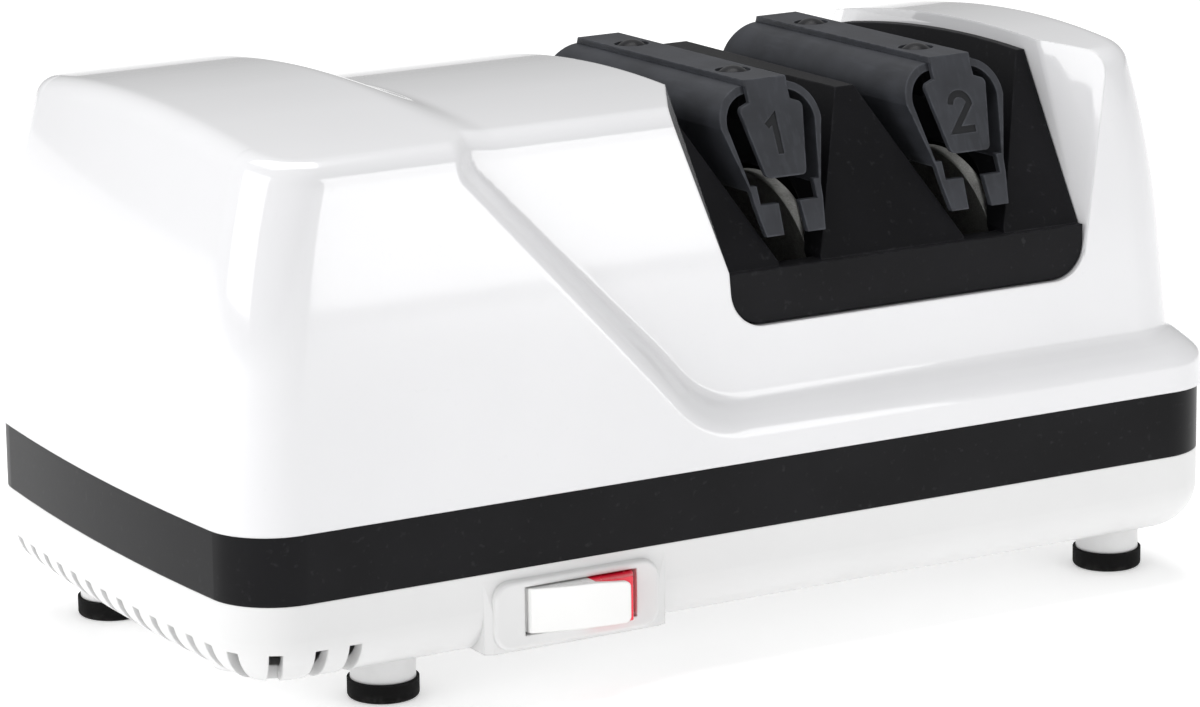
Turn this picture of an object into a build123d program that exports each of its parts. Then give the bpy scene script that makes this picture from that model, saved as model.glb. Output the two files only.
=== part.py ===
from build123d import *
import math
import os

# Electric knife sharpener. Millimetres; X along its length, the switch side faces -Y, Z up, floor at 0.

# Overall form
HALF_LENGTH = 108.0
HALF_DEPTH = 56.2
END_BOW = 3.0
CORNER_RADIUS = 12.8
WALL = 2.5
FIT_GAP = 0.3
THROUGH = 150.0

# Heights of the stacked housings
FOOT_PAD_TOP = 3.7
BASE_BOTTOM = 9.9
BAND_BOTTOM = 25.8
BAND_TOP = 38.9
BASE_EDGE_RADIUS = 9.0
BAND_THICKNESS = 2.0

# Upper shell
SHELL_OVERHANG = 0.8
WALL_LEAN = 4.0
END_CURVE_START = 68.0
END_CURVE_RADIUS = 150.0
WALL_SECTIONS = (BAND_TOP, 58.0, END_CURVE_START, 79.0, 90.0, 101.0, 113.0)
CROWN_RADIUS = 300.0
CROWN_TOP = 108.4
RECESS_CROWN_Y = -18.0
RECESS_DROP = 2.6
HUMP_DROP = 1.8
HUMP_START_X = 30.0
RECESS_SIDE = 4.4
TOP_EDGE_RADIUS = 5.0
STEP_TOP_X = -55.0
STEP_BEND_Z = 98.5
SHELF_HEIGHT = 48.6
SHELF_START_X = -8.5
SHELF_BEND_RADIUS = 18.0
STEP_TOP_RADIUS = 6.0
LEDGE_RADIUS = 3.4

# Pocket for the guides, seen from the front
POCKET_LEFT_TOP = -3.6
POCKET_LEFT_LOW = -1.6
POCKET_RIGHT = 77.2
POCKET_FLOOR = 62.7
POCKET_RADIUS = 7.0
CHEEK_LEFT = -26.0
CHEEK_RIGHT = 85.0
CHEEK_START = 28.0
FACET_REACH = 24.0
FACET_FADE = 10.0
FACET_LAP = 0.2
LEFT_FACET = (
    (POCKET_LEFT_LOW - 0.1, 2.2 - HALF_DEPTH, 67.0),
    (POCKET_LEFT_TOP + 0.2, 25.7 - HALF_DEPTH, 104.5),
    (POCKET_LEFT_TOP - 13.0, 4.2 - HALF_DEPTH, 106.8),
)
RIGHT_FACET = (
    (POCKET_RIGHT, 5.6 - HALF_DEPTH, 67.5),
    (POCKET_RIGHT, 21.7 - HALF_DEPTH, 104.0),
    (POCKET_RIGHT + 6.0, 9.2 - HALF_DEPTH, 104.0),
)

# Guides
STAGE_X = (14.5, 55.5)
SILL_FRONT = HALF_DEPTH - 6.2
SILL_TOP = 73.0
WEDGE_FRONT = HALF_DEPTH - 8.1
WEDGE_FOOT_Z = 73.6
WEDGE_RAKE = 0.61
SLOT_HALF_WIDTH = 4.6
GUIDE_SLOPE = 0.5
RIDGE_TOP = 101.5
RIDGE_GAP = 2.0
BLOCK_TOP = CROWN_TOP - 4.4
BLOCK_BOTTOM = 60.2
SLAB_LEFT = -10.0
SLAB_HALF_DEPTH = HALF_DEPTH - 8.8
SLAB_TOP = 66.0
WELL_HALF_WIDTH = 10.8
TUNNEL_RADIUS = 6.5
RAIL_HALF_WIDTH = 3.4
RAIL_FRONT = -32.0
POST_FRONT = 12.0
POST_REAR = 34.0

# Horseshoe springs and their strips
SPRING_RAKE = 0.42
SPRING_REF_Y = HALF_DEPTH - 10.7
SPRING_REF_Z = 80.0
SPRING_REAR_SHIFT = -8.0
SPRING_THICKNESS = 1.4
SPRING_TOP = 104.7
SPRING_FALL = 1.5
SPRING_WIDE = 10.9
SPRING_WIDE_Z = 97.5
SPRING_LOW = 7.6
SPRING_BOTTOM = 86.0
TAB_TOP = SPRING_BOTTOM - 2.4
TAB_BOTTOM = 78.0
TAB_INNER = 2.3
TAB_LOW_INNER = 2.6
TAB_LOW_OUTER = 6.4
BAR_HALF_WIDTH = 4.6
BAR_THICKNESS = 1.2
TONGUE_THICKNESS = 1.2
TONGUE_BOTTOM = 88.3
TONGUE_CORNER_RADIUS = 1.1
TONGUE_OUTLINE = ((BAR_HALF_WIDTH - 0.2, 101.8), (6.9, 100.9), (4.3, TONGUE_BOTTOM))
SCREW_Y = (-24.5, 13.5)
DOME_RADIUS = 2.9
DOME_HEIGHT = 1.3
DOME_SINK = 0.5
DIGIT_DEPTH = 0.3
DIGIT_STROKE = 1.3
DIGIT_CENTRE_Z = 95.5

# Shaft and discs
SHAFT_Y = -19.5
SHAFT_Z = 57.8
SHAFT_RADIUS = 3.0
SHAFT_LEFT = -97.0
SUPPORT_LEFT = POCKET_RIGHT + WALL + 0.5
SHAFT_RIGHT = SUPPORT_LEFT + 5.5
FLAT_HALF = SHAFT_RADIUS - 0.6
FLATS_LEFT = 0.0
RUNNING_GAP = 0.05
DISC_RADIUS = 26.5
DISC_OUT = 9.0
DISC_THICKNESS = 3.0
DISC_CONE = 1.2
WELL_RADIUS = DISC_RADIUS + 1.2
HUB_RADIUS = 8.0
HUB_IN = 4.2
SPRING_SEAT = 1.0
COIL_RADIUS = 10.5
COIL_WIRE = 0.45
COIL_TURNS = 3

# Motor
STATOR_LEFT = -76.0
STATOR_RIGHT = -46.0
STATOR_FRONT = -46.0
STATOR_REAR = 34.0
STATOR_BOTTOM = 34.8
STATOR_TOP = 80.8
ROTOR_RADIUS = 15.5
STATOR_BORE = ROTOR_RADIUS + 0.5
LIMB_DEPTH = 12.0
WINDOW_FRONT = 4.0
BRACKET_GAP = 8.0
BRACKET_THICKNESS = 2.0
BUSH_RADIUS = SHAFT_RADIUS + 4.0
BUSH_REACH = 2.6
BOLT_RADIUS = 1.2
BOLT_HEAD_RADIUS = 2.4
BOLT_HEAD = 1.4
NUT = 2.0
BOLT_Y = (-41.0, 0.3)
STANDOFF_RADIUS = 2.6
COIL_THICKNESS = 8.0
FAN_LEFT = -93.8
FAN_WIDTH = 5.6
FAN_RADIUS = 26.5
FAN_HUB_RADIUS = 8.0
FAN_BLADES = 9
FAN_PITCH = 38.0
BLADE_THICKNESS = 1.2
SUPPORT_THICKNESS = 2.5
SUPPORT_HALF_DEPTH = 11.0
SUPPORT_FOOT = 6.0
COLLAR_RADIUS = SHAFT_RADIUS + 2.0
COLLAR_LENGTH = 2.0

# Feet and housing screws
FOOT_RADIUS = 6.1
FOOT_PAD_RADIUS = 6.7
FOOT_EDGE_RADIUS = 0.8
FEET = {
    "front_left": (-69.0, -37.3),
    "front_right": (92.2, -37.3),
    "rear_left": (-89.0, 37.3),
    "rear_right": (92.2, 37.3),
}
BOSS_RADIUS = 4.4
SCREW_RADIUS = 1.5
SCREW_HOLE_GAP = 0.1
SCREW_HEAD_RADIUS = 3.0
SCREW_SINK_RADIUS = 3.3
SCREW_SEAT = 20.0
SCREW_TOP = 56.0
BOSS_JOINT = 40.0
LONE_SCREW = (-98.8, -38.0)
SCREW_PLACES = [FEET["front_right"], FEET["rear_left"], FEET["rear_right"], LONE_SCREW]
SUPPORT_POST_RADIUS = 4.0
MOTOR_POSTS = [(-71.0, -41.0), (-60.0, -41.0), (-71.0, 29.0), (-50.0, 29.0)]
BLOCK_POSTS = [(-5.0, -41.0), (-5.0, 41.0), (35.0, -41.0), (35.0, 41.0), (70.0, -41.0), (70.0, 41.0)]

# Vents
VENT_WIDTH = 2.5
VENT_TOP = 16.8
VENT_PITCH = 6.88
VENT_FIRST_Y = 48.0
VENT_COUNT = 14
CORNER_VENT_ANGLES = (208.0, 251.0)
FRONT_VENTS_X = (-90.6, -83.8)

# Switch
POD_LEFT = -56.5
POD_RIGHT = -22.0
POD_FLARE = 1.5
POD_BOTTOM = 10.6
POD_TOP = 24.4
POD_FRONT = -HALF_DEPTH - 1.8
POD_REAR = 9.0 - HALF_DEPTH
POD_SLOPE = 6.0
FRAME_RISE = 0.9
FRAME_MARGIN = 0.5
FRAME_CORNER_RADIUS = 3.5
FRAME_EDGE_RADIUS = 0.8
OPENING_LEFT = -50.4
OPENING_RIGHT = -27.0
OPENING_BOTTOM = 13.5
OPENING_TOP = 22.7
PIVOT_X = (OPENING_LEFT + OPENING_RIGHT) / 2
PIVOT_Y = POD_FRONT + 4.0
ROCKER_SIDE_GAP = 0.2
ROCKER_RADIUS = (OPENING_RIGHT - OPENING_LEFT) / 2 - ROCKER_SIDE_GAP
ROCKER_FACE = (
    (PIVOT_X - 10.7, POD_FRONT - 0.3),
    (PIVOT_X - 0.3, POD_FRONT - 3.0),
    (PIVOT_X + 8.3, POD_FRONT - 3.8),
)
CAP_THICKNESS = 0.9
SWITCH_DEPTH = 17.6
SWITCH_FRONT = POD_FRONT + 2.4
SWITCH_REAR = SWITCH_FRONT + SWITCH_DEPTH
SWITCH_MARGIN = 1.6
SWITCH_RIM = 0.6
ROCKER_BOTTOM = OPENING_BOTTOM + 0.4
ROCKER_TOP = OPENING_TOP - 0.4
ROCKER_REAR = PIVOT_Y + 3.0
CAP_TOP_RIGHT = ROCKER_TOP - 0.6
RED_LEFT = PIVOT_X + 1.7
CAP_CORNER_RADIUS = 1.2
TRUNNION_RADIUS = 1.0
TERMINAL_X = (PIVOT_X - 6.0, PIVOT_X + 6.0)
TERMINAL_HALF_WIDTH = 3.1
TERMINAL_LENGTH = 8.0
TERMINAL_Z = (17.6, 18.4)

# Cord inlet
INLET_X = -60.0
INLET_Z = 18.5
INLET_RADIUS = 5.0
INLET_BORE = 2.6
GLAND_REACH = 5.6
GLAND_FLANGE = 2.0
INLET_SEAT = HALF_DEPTH - WALL

# Clean-out cover
COVER_LEFT = 4.0
COVER_RIGHT = 66.0
COVER_FRONT = -36.0
COVER_REAR = -4.0
COVER_THICKNESS = 2.2
COVER_RIM_TOP = 15.0
MAGNET = (24.0, 12.0, 4.0)


def prism_y(face, front, rear):
    """A face drawn with Z up as its second axis, swept from the front to the rear."""
    return Pos(0, rear, 0) * extrude(Plane.XZ * face, rear - front)


def prism_x(face, left, right):
    """A face drawn in Y and Z, swept from left to right."""
    return Pos(left, 0, 0) * extrude(Plane.YZ * face, right - left)


def prism_z(face, bottom, top):
    return Pos(0, 0, bottom) * extrude(face, top - bottom)


def polygon(points):
    return make_face(Polyline(*points, close=True))


def block(left, right, front, rear, bottom, top):
    size = (right - left, rear - front, top - bottom)
    centre = ((left + right) / 2, (front + rear) / 2, (bottom + top) / 2)
    return Pos(*centre) * Box(*size)


def post(x, y, radius, bottom, top):
    return Pos(x, y, (bottom + top) / 2) * Cylinder(radius, top - bottom)


def on_shaft(radius, left, right):
    """A round bar about the shaft's axis."""
    middle = (left + right) / 2
    return Pos(middle, SHAFT_Y, SHAFT_Z) * Rot(0, 90, 0) * Cylinder(radius, right - left)


def plan_outline(inset_x, inset_y):
    """The bowed rectangle that every housing follows, seen from above."""
    half_x = HALF_LENGTH - inset_x
    half_y = HALF_DEPTH - inset_y
    shoulder = half_x - END_BOW
    front = Line((-shoulder, -half_y), (shoulder, -half_y))
    right = ThreePointArc((shoulder, -half_y), (half_x, 0), (shoulder, half_y))
    rear = Line((shoulder, half_y), (-shoulder, half_y))
    left = ThreePointArc((-shoulder, half_y), (-half_x, 0), (-shoulder, -half_y))
    face = make_face([front, right, rear, left])
    return fillet(face.vertices(), CORNER_RADIUS)


def wall_section(inset, height):
    """Outline of the walls at a height: all lean in, and the ends also curve in near the top."""
    lean = (height - BAND_TOP) * math.tan(math.radians(WALL_LEAN)) + inset - SHELL_OVERHANG
    curve = max(0, height - END_CURVE_START) ** 2 / (2 * END_CURVE_RADIUS)
    return Pos(0, 0, height) * plan_outline(lean + curve, lean)


def under_crown(crest_y, crest):
    """Everything under a top that is crowned from front to rear."""
    return Pos(0, crest_y, crest - CROWN_RADIUS) * Rot(0, 90, 0) * Cylinder(CROWN_RADIUS, 2 * THROUGH)


def leaning_block(inset, crest_y, crest):
    """The walls of the upper shell under its crowned top."""
    walls = loft([wall_section(inset, height) for height in WALL_SECTIONS])
    form = walls & under_crown(crest_y, crest)
    rim = form.faces().sort_by(Axis.Z)[-1].edges()
    return fillet(rim, TOP_EDGE_RADIUS)


def step_region(inset):
    """What lies right of the step on the left and above the shelf, seen from the front."""
    top_x = STEP_TOP_X - inset
    shelf = SHELF_HEIGHT - inset
    points = [
        (top_x, THROUGH),
        (top_x, STEP_BEND_Z - inset),
        (SHELF_START_X - inset, shelf),
        (THROUGH, shelf),
        (THROUGH, THROUGH),
    ]
    face = polygon(points)
    bend = face.vertices().sort_by(Axis.Y)[0:2].sort_by(Axis.X)[0]
    face = fillet(bend, SHELF_BEND_RADIUS)
    corner = [v for v in face.vertices() if abs(v.Y - points[1][1]) < 0.01]
    face = fillet(corner, STEP_TOP_RADIUS)
    return prism_y(face, -THROUGH, THROUGH)


def shell_form(inset):
    """The solid form of the upper shell, drawn in by inset all over."""
    whole = leaning_block(inset, 0, CROWN_TOP - inset)
    region = step_region(inset)
    proud = whole - region
    if inset == 0:
        proud = fillet(new_edges(whole, region, combined=proud), LEDGE_RADIUS)
    side = inset + RECESS_SIDE
    recessed = leaning_block(side, RECESS_CROWN_Y, CROWN_TOP - RECESS_DROP - inset)
    hump = leaning_block(side, RECESS_CROWN_Y, CROWN_TOP - HUMP_DROP - inset)
    hump &= block(HUMP_START_X, THROUGH, -THROUGH, THROUGH, SLAB_TOP, THROUGH)
    return proud + recessed + hump


def pocket_region(inset):
    """The opening for the guides, seen from the front and drawn in by inset."""
    points = [
        (POCKET_LEFT_TOP + inset, CROWN_TOP),
        (POCKET_LEFT_LOW + inset, POCKET_FLOOR + inset),
        (POCKET_RIGHT - inset, POCKET_FLOOR + inset),
        (POCKET_RIGHT - inset, CROWN_TOP + 10),
        (POCKET_LEFT_TOP + inset - 4, CROWN_TOP + 10),
    ]
    face = polygon(points)
    corners = face.vertices().sort_by(Axis.Y)[0:2]
    return fillet(corners, POCKET_RADIUS - inset)


def facet_cutter(low, inner, outer):
    """What is cut off a side of the pocket, in front of the plane through three points."""
    low = Vector(*low)
    normal = (Vector(*outer) - low).cross(Vector(*inner) - low)
    if normal.Y > 0:
        normal = -normal
    slab = Plane(origin=low, z_dir=normal) * Pos(0, 0, FACET_REACH) * Box(
        THROUGH, THROUGH, 2 * FACET_REACH
    )
    if outer[0] < low.X:
        left, right = low.X - FACET_REACH, max(low.X, inner[0]) + FACET_LAP
    else:
        left, right = min(low.X, inner[0]) - FACET_LAP, low.X + FACET_REACH
    return slab & block(left, right, -THROUGH, -CHEEK_START + 10, low.Z - FACET_FADE, THROUGH)


def make_top_housing():
    solid_form = shell_form(0)
    shell = solid_form - shell_form(WALL)
    for x, y in SCREW_PLACES:
        shell += post(x, y, BOSS_RADIUS, BOSS_JOINT, CROWN_TOP) & solid_form
    cheeks = prism_y(pocket_region(-WALL), -THROUGH, THROUGH)
    for left, right in ((CHEEK_LEFT, POCKET_LEFT_LOW), (POCKET_RIGHT, CHEEK_RIGHT)):
        corner = block(left, right, -THROUGH, -CHEEK_START, SLAB_TOP, THROUGH)
        cheeks += [corner, mirror(corner, Plane.XZ)]
    cheeks &= block(-THROUGH, THROUGH, -THROUGH, THROUGH, SLAB_TOP + FIT_GAP, THROUGH)
    shell += cheeks & solid_form
    shell -= prism_y(pocket_region(0), -THROUGH, THROUGH)
    for points in (LEFT_FACET, RIGHT_FACET):
        facet = facet_cutter(*points)
        shell -= [facet, mirror(facet, Plane.XZ)]
    for x, y in SCREW_PLACES:
        shell -= post(x, y, SCREW_RADIUS + SCREW_HOLE_GAP, BOSS_JOINT - 1, SCREW_TOP + 1)
    return shell


def make_trim_band():
    outer = prism_z(plan_outline(0, 0), BAND_BOTTOM, BAND_TOP)
    inner = prism_z(plan_outline(BAND_THICKNESS, BAND_THICKNESS), BAND_BOTTOM, BAND_TOP)
    return outer - inner


def tray_form(inset):
    form = prism_z(plan_outline(inset, inset), BASE_BOTTOM + inset, BAND_BOTTOM)
    rim = form.faces().sort_by(Axis.Z)[0].edges()
    return fillet(rim, BASE_EDGE_RADIUS - inset)


def vent_cutters():
    cutters = []
    reach = 14
    slot = Pos(0, 0, VENT_TOP - reach / 2) * Box(reach, VENT_WIDTH, reach)
    for step in range(VENT_COUNT):
        cutters.append(Pos(-HALF_LENGTH + 3, VENT_FIRST_Y - step * VENT_PITCH, 0) * slot)
    corner = Pos(-HALF_LENGTH + CORNER_RADIUS, -HALF_DEPTH + CORNER_RADIUS, 0)
    for angle in CORNER_VENT_ANGLES:
        cutters.append(corner * Rot(0, 0, angle) * Pos(CORNER_RADIUS - 3, 0, 0) * slot)
    for x in FRONT_VENTS_X:
        cutters.append(Pos(x, -HALF_DEPTH + 3, 0) * Rot(0, 0, 90) * slot)
    return cutters


def round_y(x, z, radius, front, rear):
    """A round bar that runs from front to rear."""
    return Pos(x, (front + rear) / 2, z) * Rot(90, 0, 0) * Cylinder(radius, rear - front)


def switch_room(margin, front):
    """The space of the switch in the pod, from its front to its rear."""
    return block(
        OPENING_LEFT - margin,
        OPENING_RIGHT + margin,
        front,
        SWITCH_REAR,
        OPENING_BOTTOM - margin / SWITCH_MARGIN * SWITCH_RIM,
        OPENING_TOP + margin / SWITCH_MARGIN * SWITCH_RIM,
    )


def cover_hole(gap, bottom, top):
    return block(
        COVER_LEFT + gap,
        COVER_RIGHT - gap,
        COVER_FRONT + gap,
        COVER_REAR - gap,
        bottom,
        top,
    )


def make_switch_pod():
    """The swelling of the front wall round the switch, with a softly rounded frame on it."""
    face_y = POD_FRONT + FRAME_RISE
    plan = polygon([
        (POD_LEFT - POD_FLARE, -HALF_DEPTH),
        (POD_LEFT, face_y),
        (POD_RIGHT, face_y),
        (POD_RIGHT + 2, -HALF_DEPTH),
        (POD_RIGHT + 2, POD_REAR),
        (POD_LEFT - POD_FLARE, POD_REAR),
    ])
    side = polygon([
        (face_y, POD_BOTTOM),
        (face_y, POD_TOP - POD_SLOPE),
        (-HALF_DEPTH, POD_TOP),
        (POD_REAR, POD_TOP),
        (POD_REAR, POD_BOTTOM),
    ])
    skirt = prism_z(plan, POD_BOTTOM, POD_TOP) & prism_x(side, -THROUGH, THROUGH)
    frame = block(
        POD_LEFT,
        POD_RIGHT,
        POD_FRONT,
        POD_REAR,
        POD_BOTTOM + FRAME_MARGIN,
        POD_TOP - FRAME_MARGIN,
    )
    frame = fillet(frame.edges().filter_by(Axis.Y), FRAME_CORNER_RADIUS)
    frame = fillet(frame.faces().sort_by(Axis.Y)[0].edges(), FRAME_EDGE_RADIUS)
    return skirt + frame


def make_base_housing():
    tray = tray_form(0)
    pod = make_switch_pod()
    tray += pod
    tray -= tray_form(WALL) - pod
    tray -= block(POD_LEFT, POD_RIGHT, POD_REAR - 4, 0, BASE_BOTTOM + WALL, BAND_BOTTOM)
    tray -= switch_room(SWITCH_MARGIN + RUNNING_GAP, SWITCH_FRONT - RUNNING_GAP)
    tray -= block(
        OPENING_LEFT, OPENING_RIGHT, POD_FRONT - 1, SWITCH_FRONT, OPENING_BOTTOM, OPENING_TOP
    )
    for cutter in vent_cutters():
        tray -= cutter
    for x, y in FEET.values():
        tray += post(x, y, FOOT_RADIUS, FOOT_PAD_TOP, BASE_BOTTOM + WALL)
    for x, y in SCREW_PLACES:
        tray += post(x, y, BOSS_RADIUS, BASE_BOTTOM + 1, BOSS_JOINT)
    for x, y in MOTOR_POSTS:
        tray += post(x, y, SUPPORT_POST_RADIUS, BASE_BOTTOM + 1, STATOR_BOTTOM)
    for x, y in BLOCK_POSTS:
        tray += post(x, y, SUPPORT_POST_RADIUS, BASE_BOTTOM + 1, BLOCK_BOTTOM)
    for x, y in SCREW_PLACES:
        tray -= post(x, y, SCREW_SINK_RADIUS, 0, SCREW_SEAT)
        tray -= post(x, y, SCREW_RADIUS + SCREW_HOLE_GAP, 0, BOSS_JOINT + 1)
    front_left = FEET["front_left"]
    tray -= post(*front_left, SCREW_SINK_RADIUS, 0, BASE_BOTTOM)
    tray -= cover_hole(0, 0, SCREW_SEAT)
    tray -= round_y(INLET_X, INLET_Z, INLET_RADIUS, INLET_SEAT - 1, HALF_DEPTH + 1)
    tray -= round_y(INLET_X, INLET_Z, INLET_RADIUS + 2, INLET_SEAT - 12, INLET_SEAT)
    return tray


def make_foot(x, y):
    pad = post(x, y, FOOT_PAD_RADIUS, 0, FOOT_PAD_TOP)
    pad = fillet(pad.edges().sort_by(Axis.Z)[0], FOOT_EDGE_RADIUS)
    return pad + post(x, y, SCREW_SINK_RADIUS - FIT_GAP, FOOT_PAD_TOP, BASE_BOTTOM)


def make_housing_screws():
    screws = []
    for x, y in SCREW_PLACES:
        shank = post(x, y, SCREW_RADIUS, SCREW_SEAT - 1, SCREW_TOP)
        screws.append(shank + post(x, y, SCREW_HEAD_RADIUS, SCREW_SEAT - 2, SCREW_SEAT))
    return screws


def make_cord_gland():
    sleeve = round_y(INLET_X, INLET_Z, INLET_RADIUS, INLET_SEAT, HALF_DEPTH)
    collar = round_y(INLET_X, INLET_Z, INLET_RADIUS + GLAND_FLANGE, HALF_DEPTH, HALF_DEPTH + GLAND_FLANGE)
    inner = round_y(INLET_X, INLET_Z, INLET_RADIUS + 1.5, INLET_SEAT - 1.5, INLET_SEAT)
    nose = round_y(INLET_X, INLET_Z, INLET_RADIUS, HALF_DEPTH + GLAND_FLANGE, HALF_DEPTH + GLAND_REACH)
    bore = round_y(INLET_X, INLET_Z, INLET_BORE, 0, THROUGH)
    return sleeve + collar + inner + nose - bore


def make_cleanout_cover():
    plate = cover_hole(FIT_GAP, BASE_BOTTOM, BASE_BOTTOM + COVER_THICKNESS)
    rim = cover_hole(FIT_GAP, BASE_BOTTOM, COVER_RIM_TOP)
    rim -= cover_hole(FIT_GAP + 1.5, 0, COVER_RIM_TOP + 1)
    return plate + rim


def make_swarf_magnet():
    length, depth, height = MAGNET
    bottom = BASE_BOTTOM + COVER_THICKNESS + height / 2
    return Pos((COVER_LEFT + COVER_RIGHT) / 2, (COVER_FRONT + COVER_REAR) / 2, bottom) * Box(
        length, depth, height
    )


def rake_region(front, rear, level, rake, bottom, top):
    """Everything between a front and a rear plane that lean towards each other."""
    face = polygon([
        (front + rake * (bottom - level), bottom),
        (rear - rake * (bottom - level), bottom),
        (rear - rake * (top - level), top),
        (front + rake * (top - level), top),
    ])
    return prism_x(face, -THROUGH, THROUGH)


def spring_region(front_shift, bottom, top):
    return rake_region(
        -SPRING_REF_Y + front_shift,
        SPRING_REF_Y + SPRING_REAR_SHIFT,
        SPRING_REF_Z,
        SPRING_RAKE,
        bottom,
        top,
    )


def front_sheet(start, thickness, bottom, top):
    """A leaning sheet that starts a little behind the front plane of the springs."""
    return spring_region(start, bottom, top) - spring_region(start + thickness, bottom - 1, top + 1)


def tip_back(form):
    """Tips what stands on the rails about the springs' front top edge, so that it falls to the rear."""
    front = -SPRING_REF_Y + SPRING_RAKE * (SPRING_TOP - SPRING_REF_Z)
    return Pos(0, front, SPRING_TOP) * Rot(-SPRING_FALL, 0, 0) * Pos(0, -front, -SPRING_TOP) * form


def guide_trough(stage):
    """The flared trough of a stage, whose sides guide the knife."""
    top = CROWN_TOP + 2
    flare = SLOT_HALF_WIDTH + GUIDE_SLOPE * (top - WEDGE_FOOT_Z)
    face = polygon([
        (stage - SLOT_HALF_WIDTH, SILL_TOP),
        (stage + SLOT_HALF_WIDTH, SILL_TOP),
        (stage + SLOT_HALF_WIDTH, WEDGE_FOOT_Z),
        (stage + flare, top),
        (stage - flare, top),
        (stage - SLOT_HALF_WIDTH, WEDGE_FOOT_Z),
    ])
    return prism_y(face, -THROUGH, THROUGH)


def make_guide_block():
    form = prism_y(pocket_region(FIT_GAP), -SILL_FRONT, SILL_FRONT)
    form &= under_crown(RECESS_CROWN_Y, BLOCK_TOP)
    above_sill = block(-THROUGH, THROUGH, -THROUGH, THROUGH, SILL_TOP, THROUGH)
    wedges = rake_region(
        -WEDGE_FRONT, WEDGE_FRONT, WEDGE_FOOT_Z, WEDGE_RAKE, SILL_TOP - 1, CROWN_TOP + 4
    )
    form -= above_sill - wedges
    form += block(
        SLAB_LEFT, POCKET_RIGHT - FIT_GAP, -SLAB_HALF_DEPTH, SLAB_HALF_DEPTH, BLOCK_BOTTOM, SLAB_TOP
    ) & slab_room()
    for stage in STAGE_X:
        form -= guide_trough(stage)
        form -= on_shaft(WELL_RADIUS, stage - WELL_HALF_WIDTH, stage + WELL_HALF_WIDTH)
        form -= block(
            stage - SLOT_HALF_WIDTH,
            stage + SLOT_HALF_WIDTH,
            -SLAB_HALF_DEPTH + 2,
            SHAFT_Y + WELL_RADIUS,
            0,
            SILL_TOP,
        )
        form += make_rail(stage)
    form -= tip_back(block(
        STAGE_X[0] + SPRING_WIDE + RIDGE_GAP,
        STAGE_X[1] - SPRING_WIDE - RIDGE_GAP,
        -THROUGH,
        THROUGH,
        RIDGE_TOP,
        THROUGH,
    ))
    form -= on_shaft(TUNNEL_RADIUS, SLAB_LEFT - 1, POCKET_RIGHT + 1)
    for x in STAGE_X:
        for y in SCREW_Y:
            form -= tip_back(post(x, y, SCREW_RADIUS + SCREW_HOLE_GAP, SPRING_WIDE_Z, THROUGH))
    return form


def make_rail(stage):
    """The rail under a spring and the post that carries it."""
    left, right = stage - RAIL_HALF_WIDTH, stage + RAIL_HALF_WIDTH
    rail = block(left, right, RAIL_FRONT, POST_REAR, SPRING_WIDE_Z, SPRING_TOP - SPRING_THICKNESS)
    carrier = block(left, right, POST_FRONT, POST_REAR, SILL_TOP - 1, SPRING_WIDE_Z)
    inside = spring_region(2, 0, THROUGH)
    return tip_back(rail & inside) + (carrier & inside)


def slab_room():
    return shell_form(WALL + FIT_GAP) & block(-THROUGH, THROUGH, -THROUGH, THROUGH, 0, SLAB_TOP)


def horseshoe_face(inset):
    """Outline of the horseshoe spring seen from the front, drawn in by inset."""
    low = SPRING_LOW - inset
    wide = SPRING_WIDE - inset
    top = SPRING_TOP - inset
    bottom = SPRING_BOTTOM - 4 * inset
    flat = BAR_HALF_WIDTH - inset / 2
    shoulder = (wide * 0.86, SPRING_WIDE_Z + 0.66 * (top - SPRING_WIDE_Z))
    right_leg = Line((low, bottom), (wide, SPRING_WIDE_Z))
    right_arc = ThreePointArc((wide, SPRING_WIDE_Z), shoulder, (flat, top))
    roof = Line((flat, top), (-flat, top))
    left_arc = ThreePointArc((-flat, top), (-shoulder[0], shoulder[1]), (-wide, SPRING_WIDE_Z))
    left_leg = Line((-wide, SPRING_WIDE_Z), (-low, bottom))
    floor = Line((-low, bottom), (low, bottom))
    return make_face([right_leg, right_arc, roof, left_arc, left_leg, floor])


def spring_tab():
    """The foot at the front end of the right leg, seen from the front."""
    neck_left = SPRING_LOW - SPRING_THICKNESS
    return polygon([
        (TAB_INNER, TAB_TOP),
        (neck_left, TAB_TOP),
        (neck_left, SPRING_BOTTOM + 1),
        (SPRING_LOW + 0.1, SPRING_BOTTOM + 1),
        (SPRING_LOW - 0.2, TAB_TOP),
        (TAB_LOW_OUTER, TAB_BOTTOM),
        (TAB_LOW_INNER, TAB_BOTTOM),
    ])


def make_guide_spring(stage):
    band = prism_y(horseshoe_face(0), -THROUGH, THROUGH)
    band -= prism_y(horseshoe_face(SPRING_THICKNESS), -THROUGH, THROUGH)
    band &= block(-THROUGH, THROUGH, -THROUGH, THROUGH, SPRING_BOTTOM, THROUGH)
    band &= spring_region(0, 0, THROUGH)
    tab = prism_y(spring_tab(), -THROUGH, 0)
    tab &= front_sheet(0, SPRING_THICKNESS, 0, THROUGH)
    form = band + tab + mirror(tab, Plane.YZ)
    for y in SCREW_Y:
        form -= post(0, y, SCREW_RADIUS + SCREW_HOLE_GAP, SPRING_WIDE_Z, THROUGH)
    return Pos(stage, 0, 0) * tip_back(form)


def tongue_face():
    top = SPRING_TOP + BAR_THICKNESS
    neck = TONGUE_OUTLINE[0]
    half = [(neck[0], top), *TONGUE_OUTLINE]
    face = polygon(half + [(-x, z) for x, z in reversed(half)])
    rounded = [v for v in face.vertices() if v.Y < neck[1] - 0.3]
    return fillet(rounded, TONGUE_CORNER_RADIUS)


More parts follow.
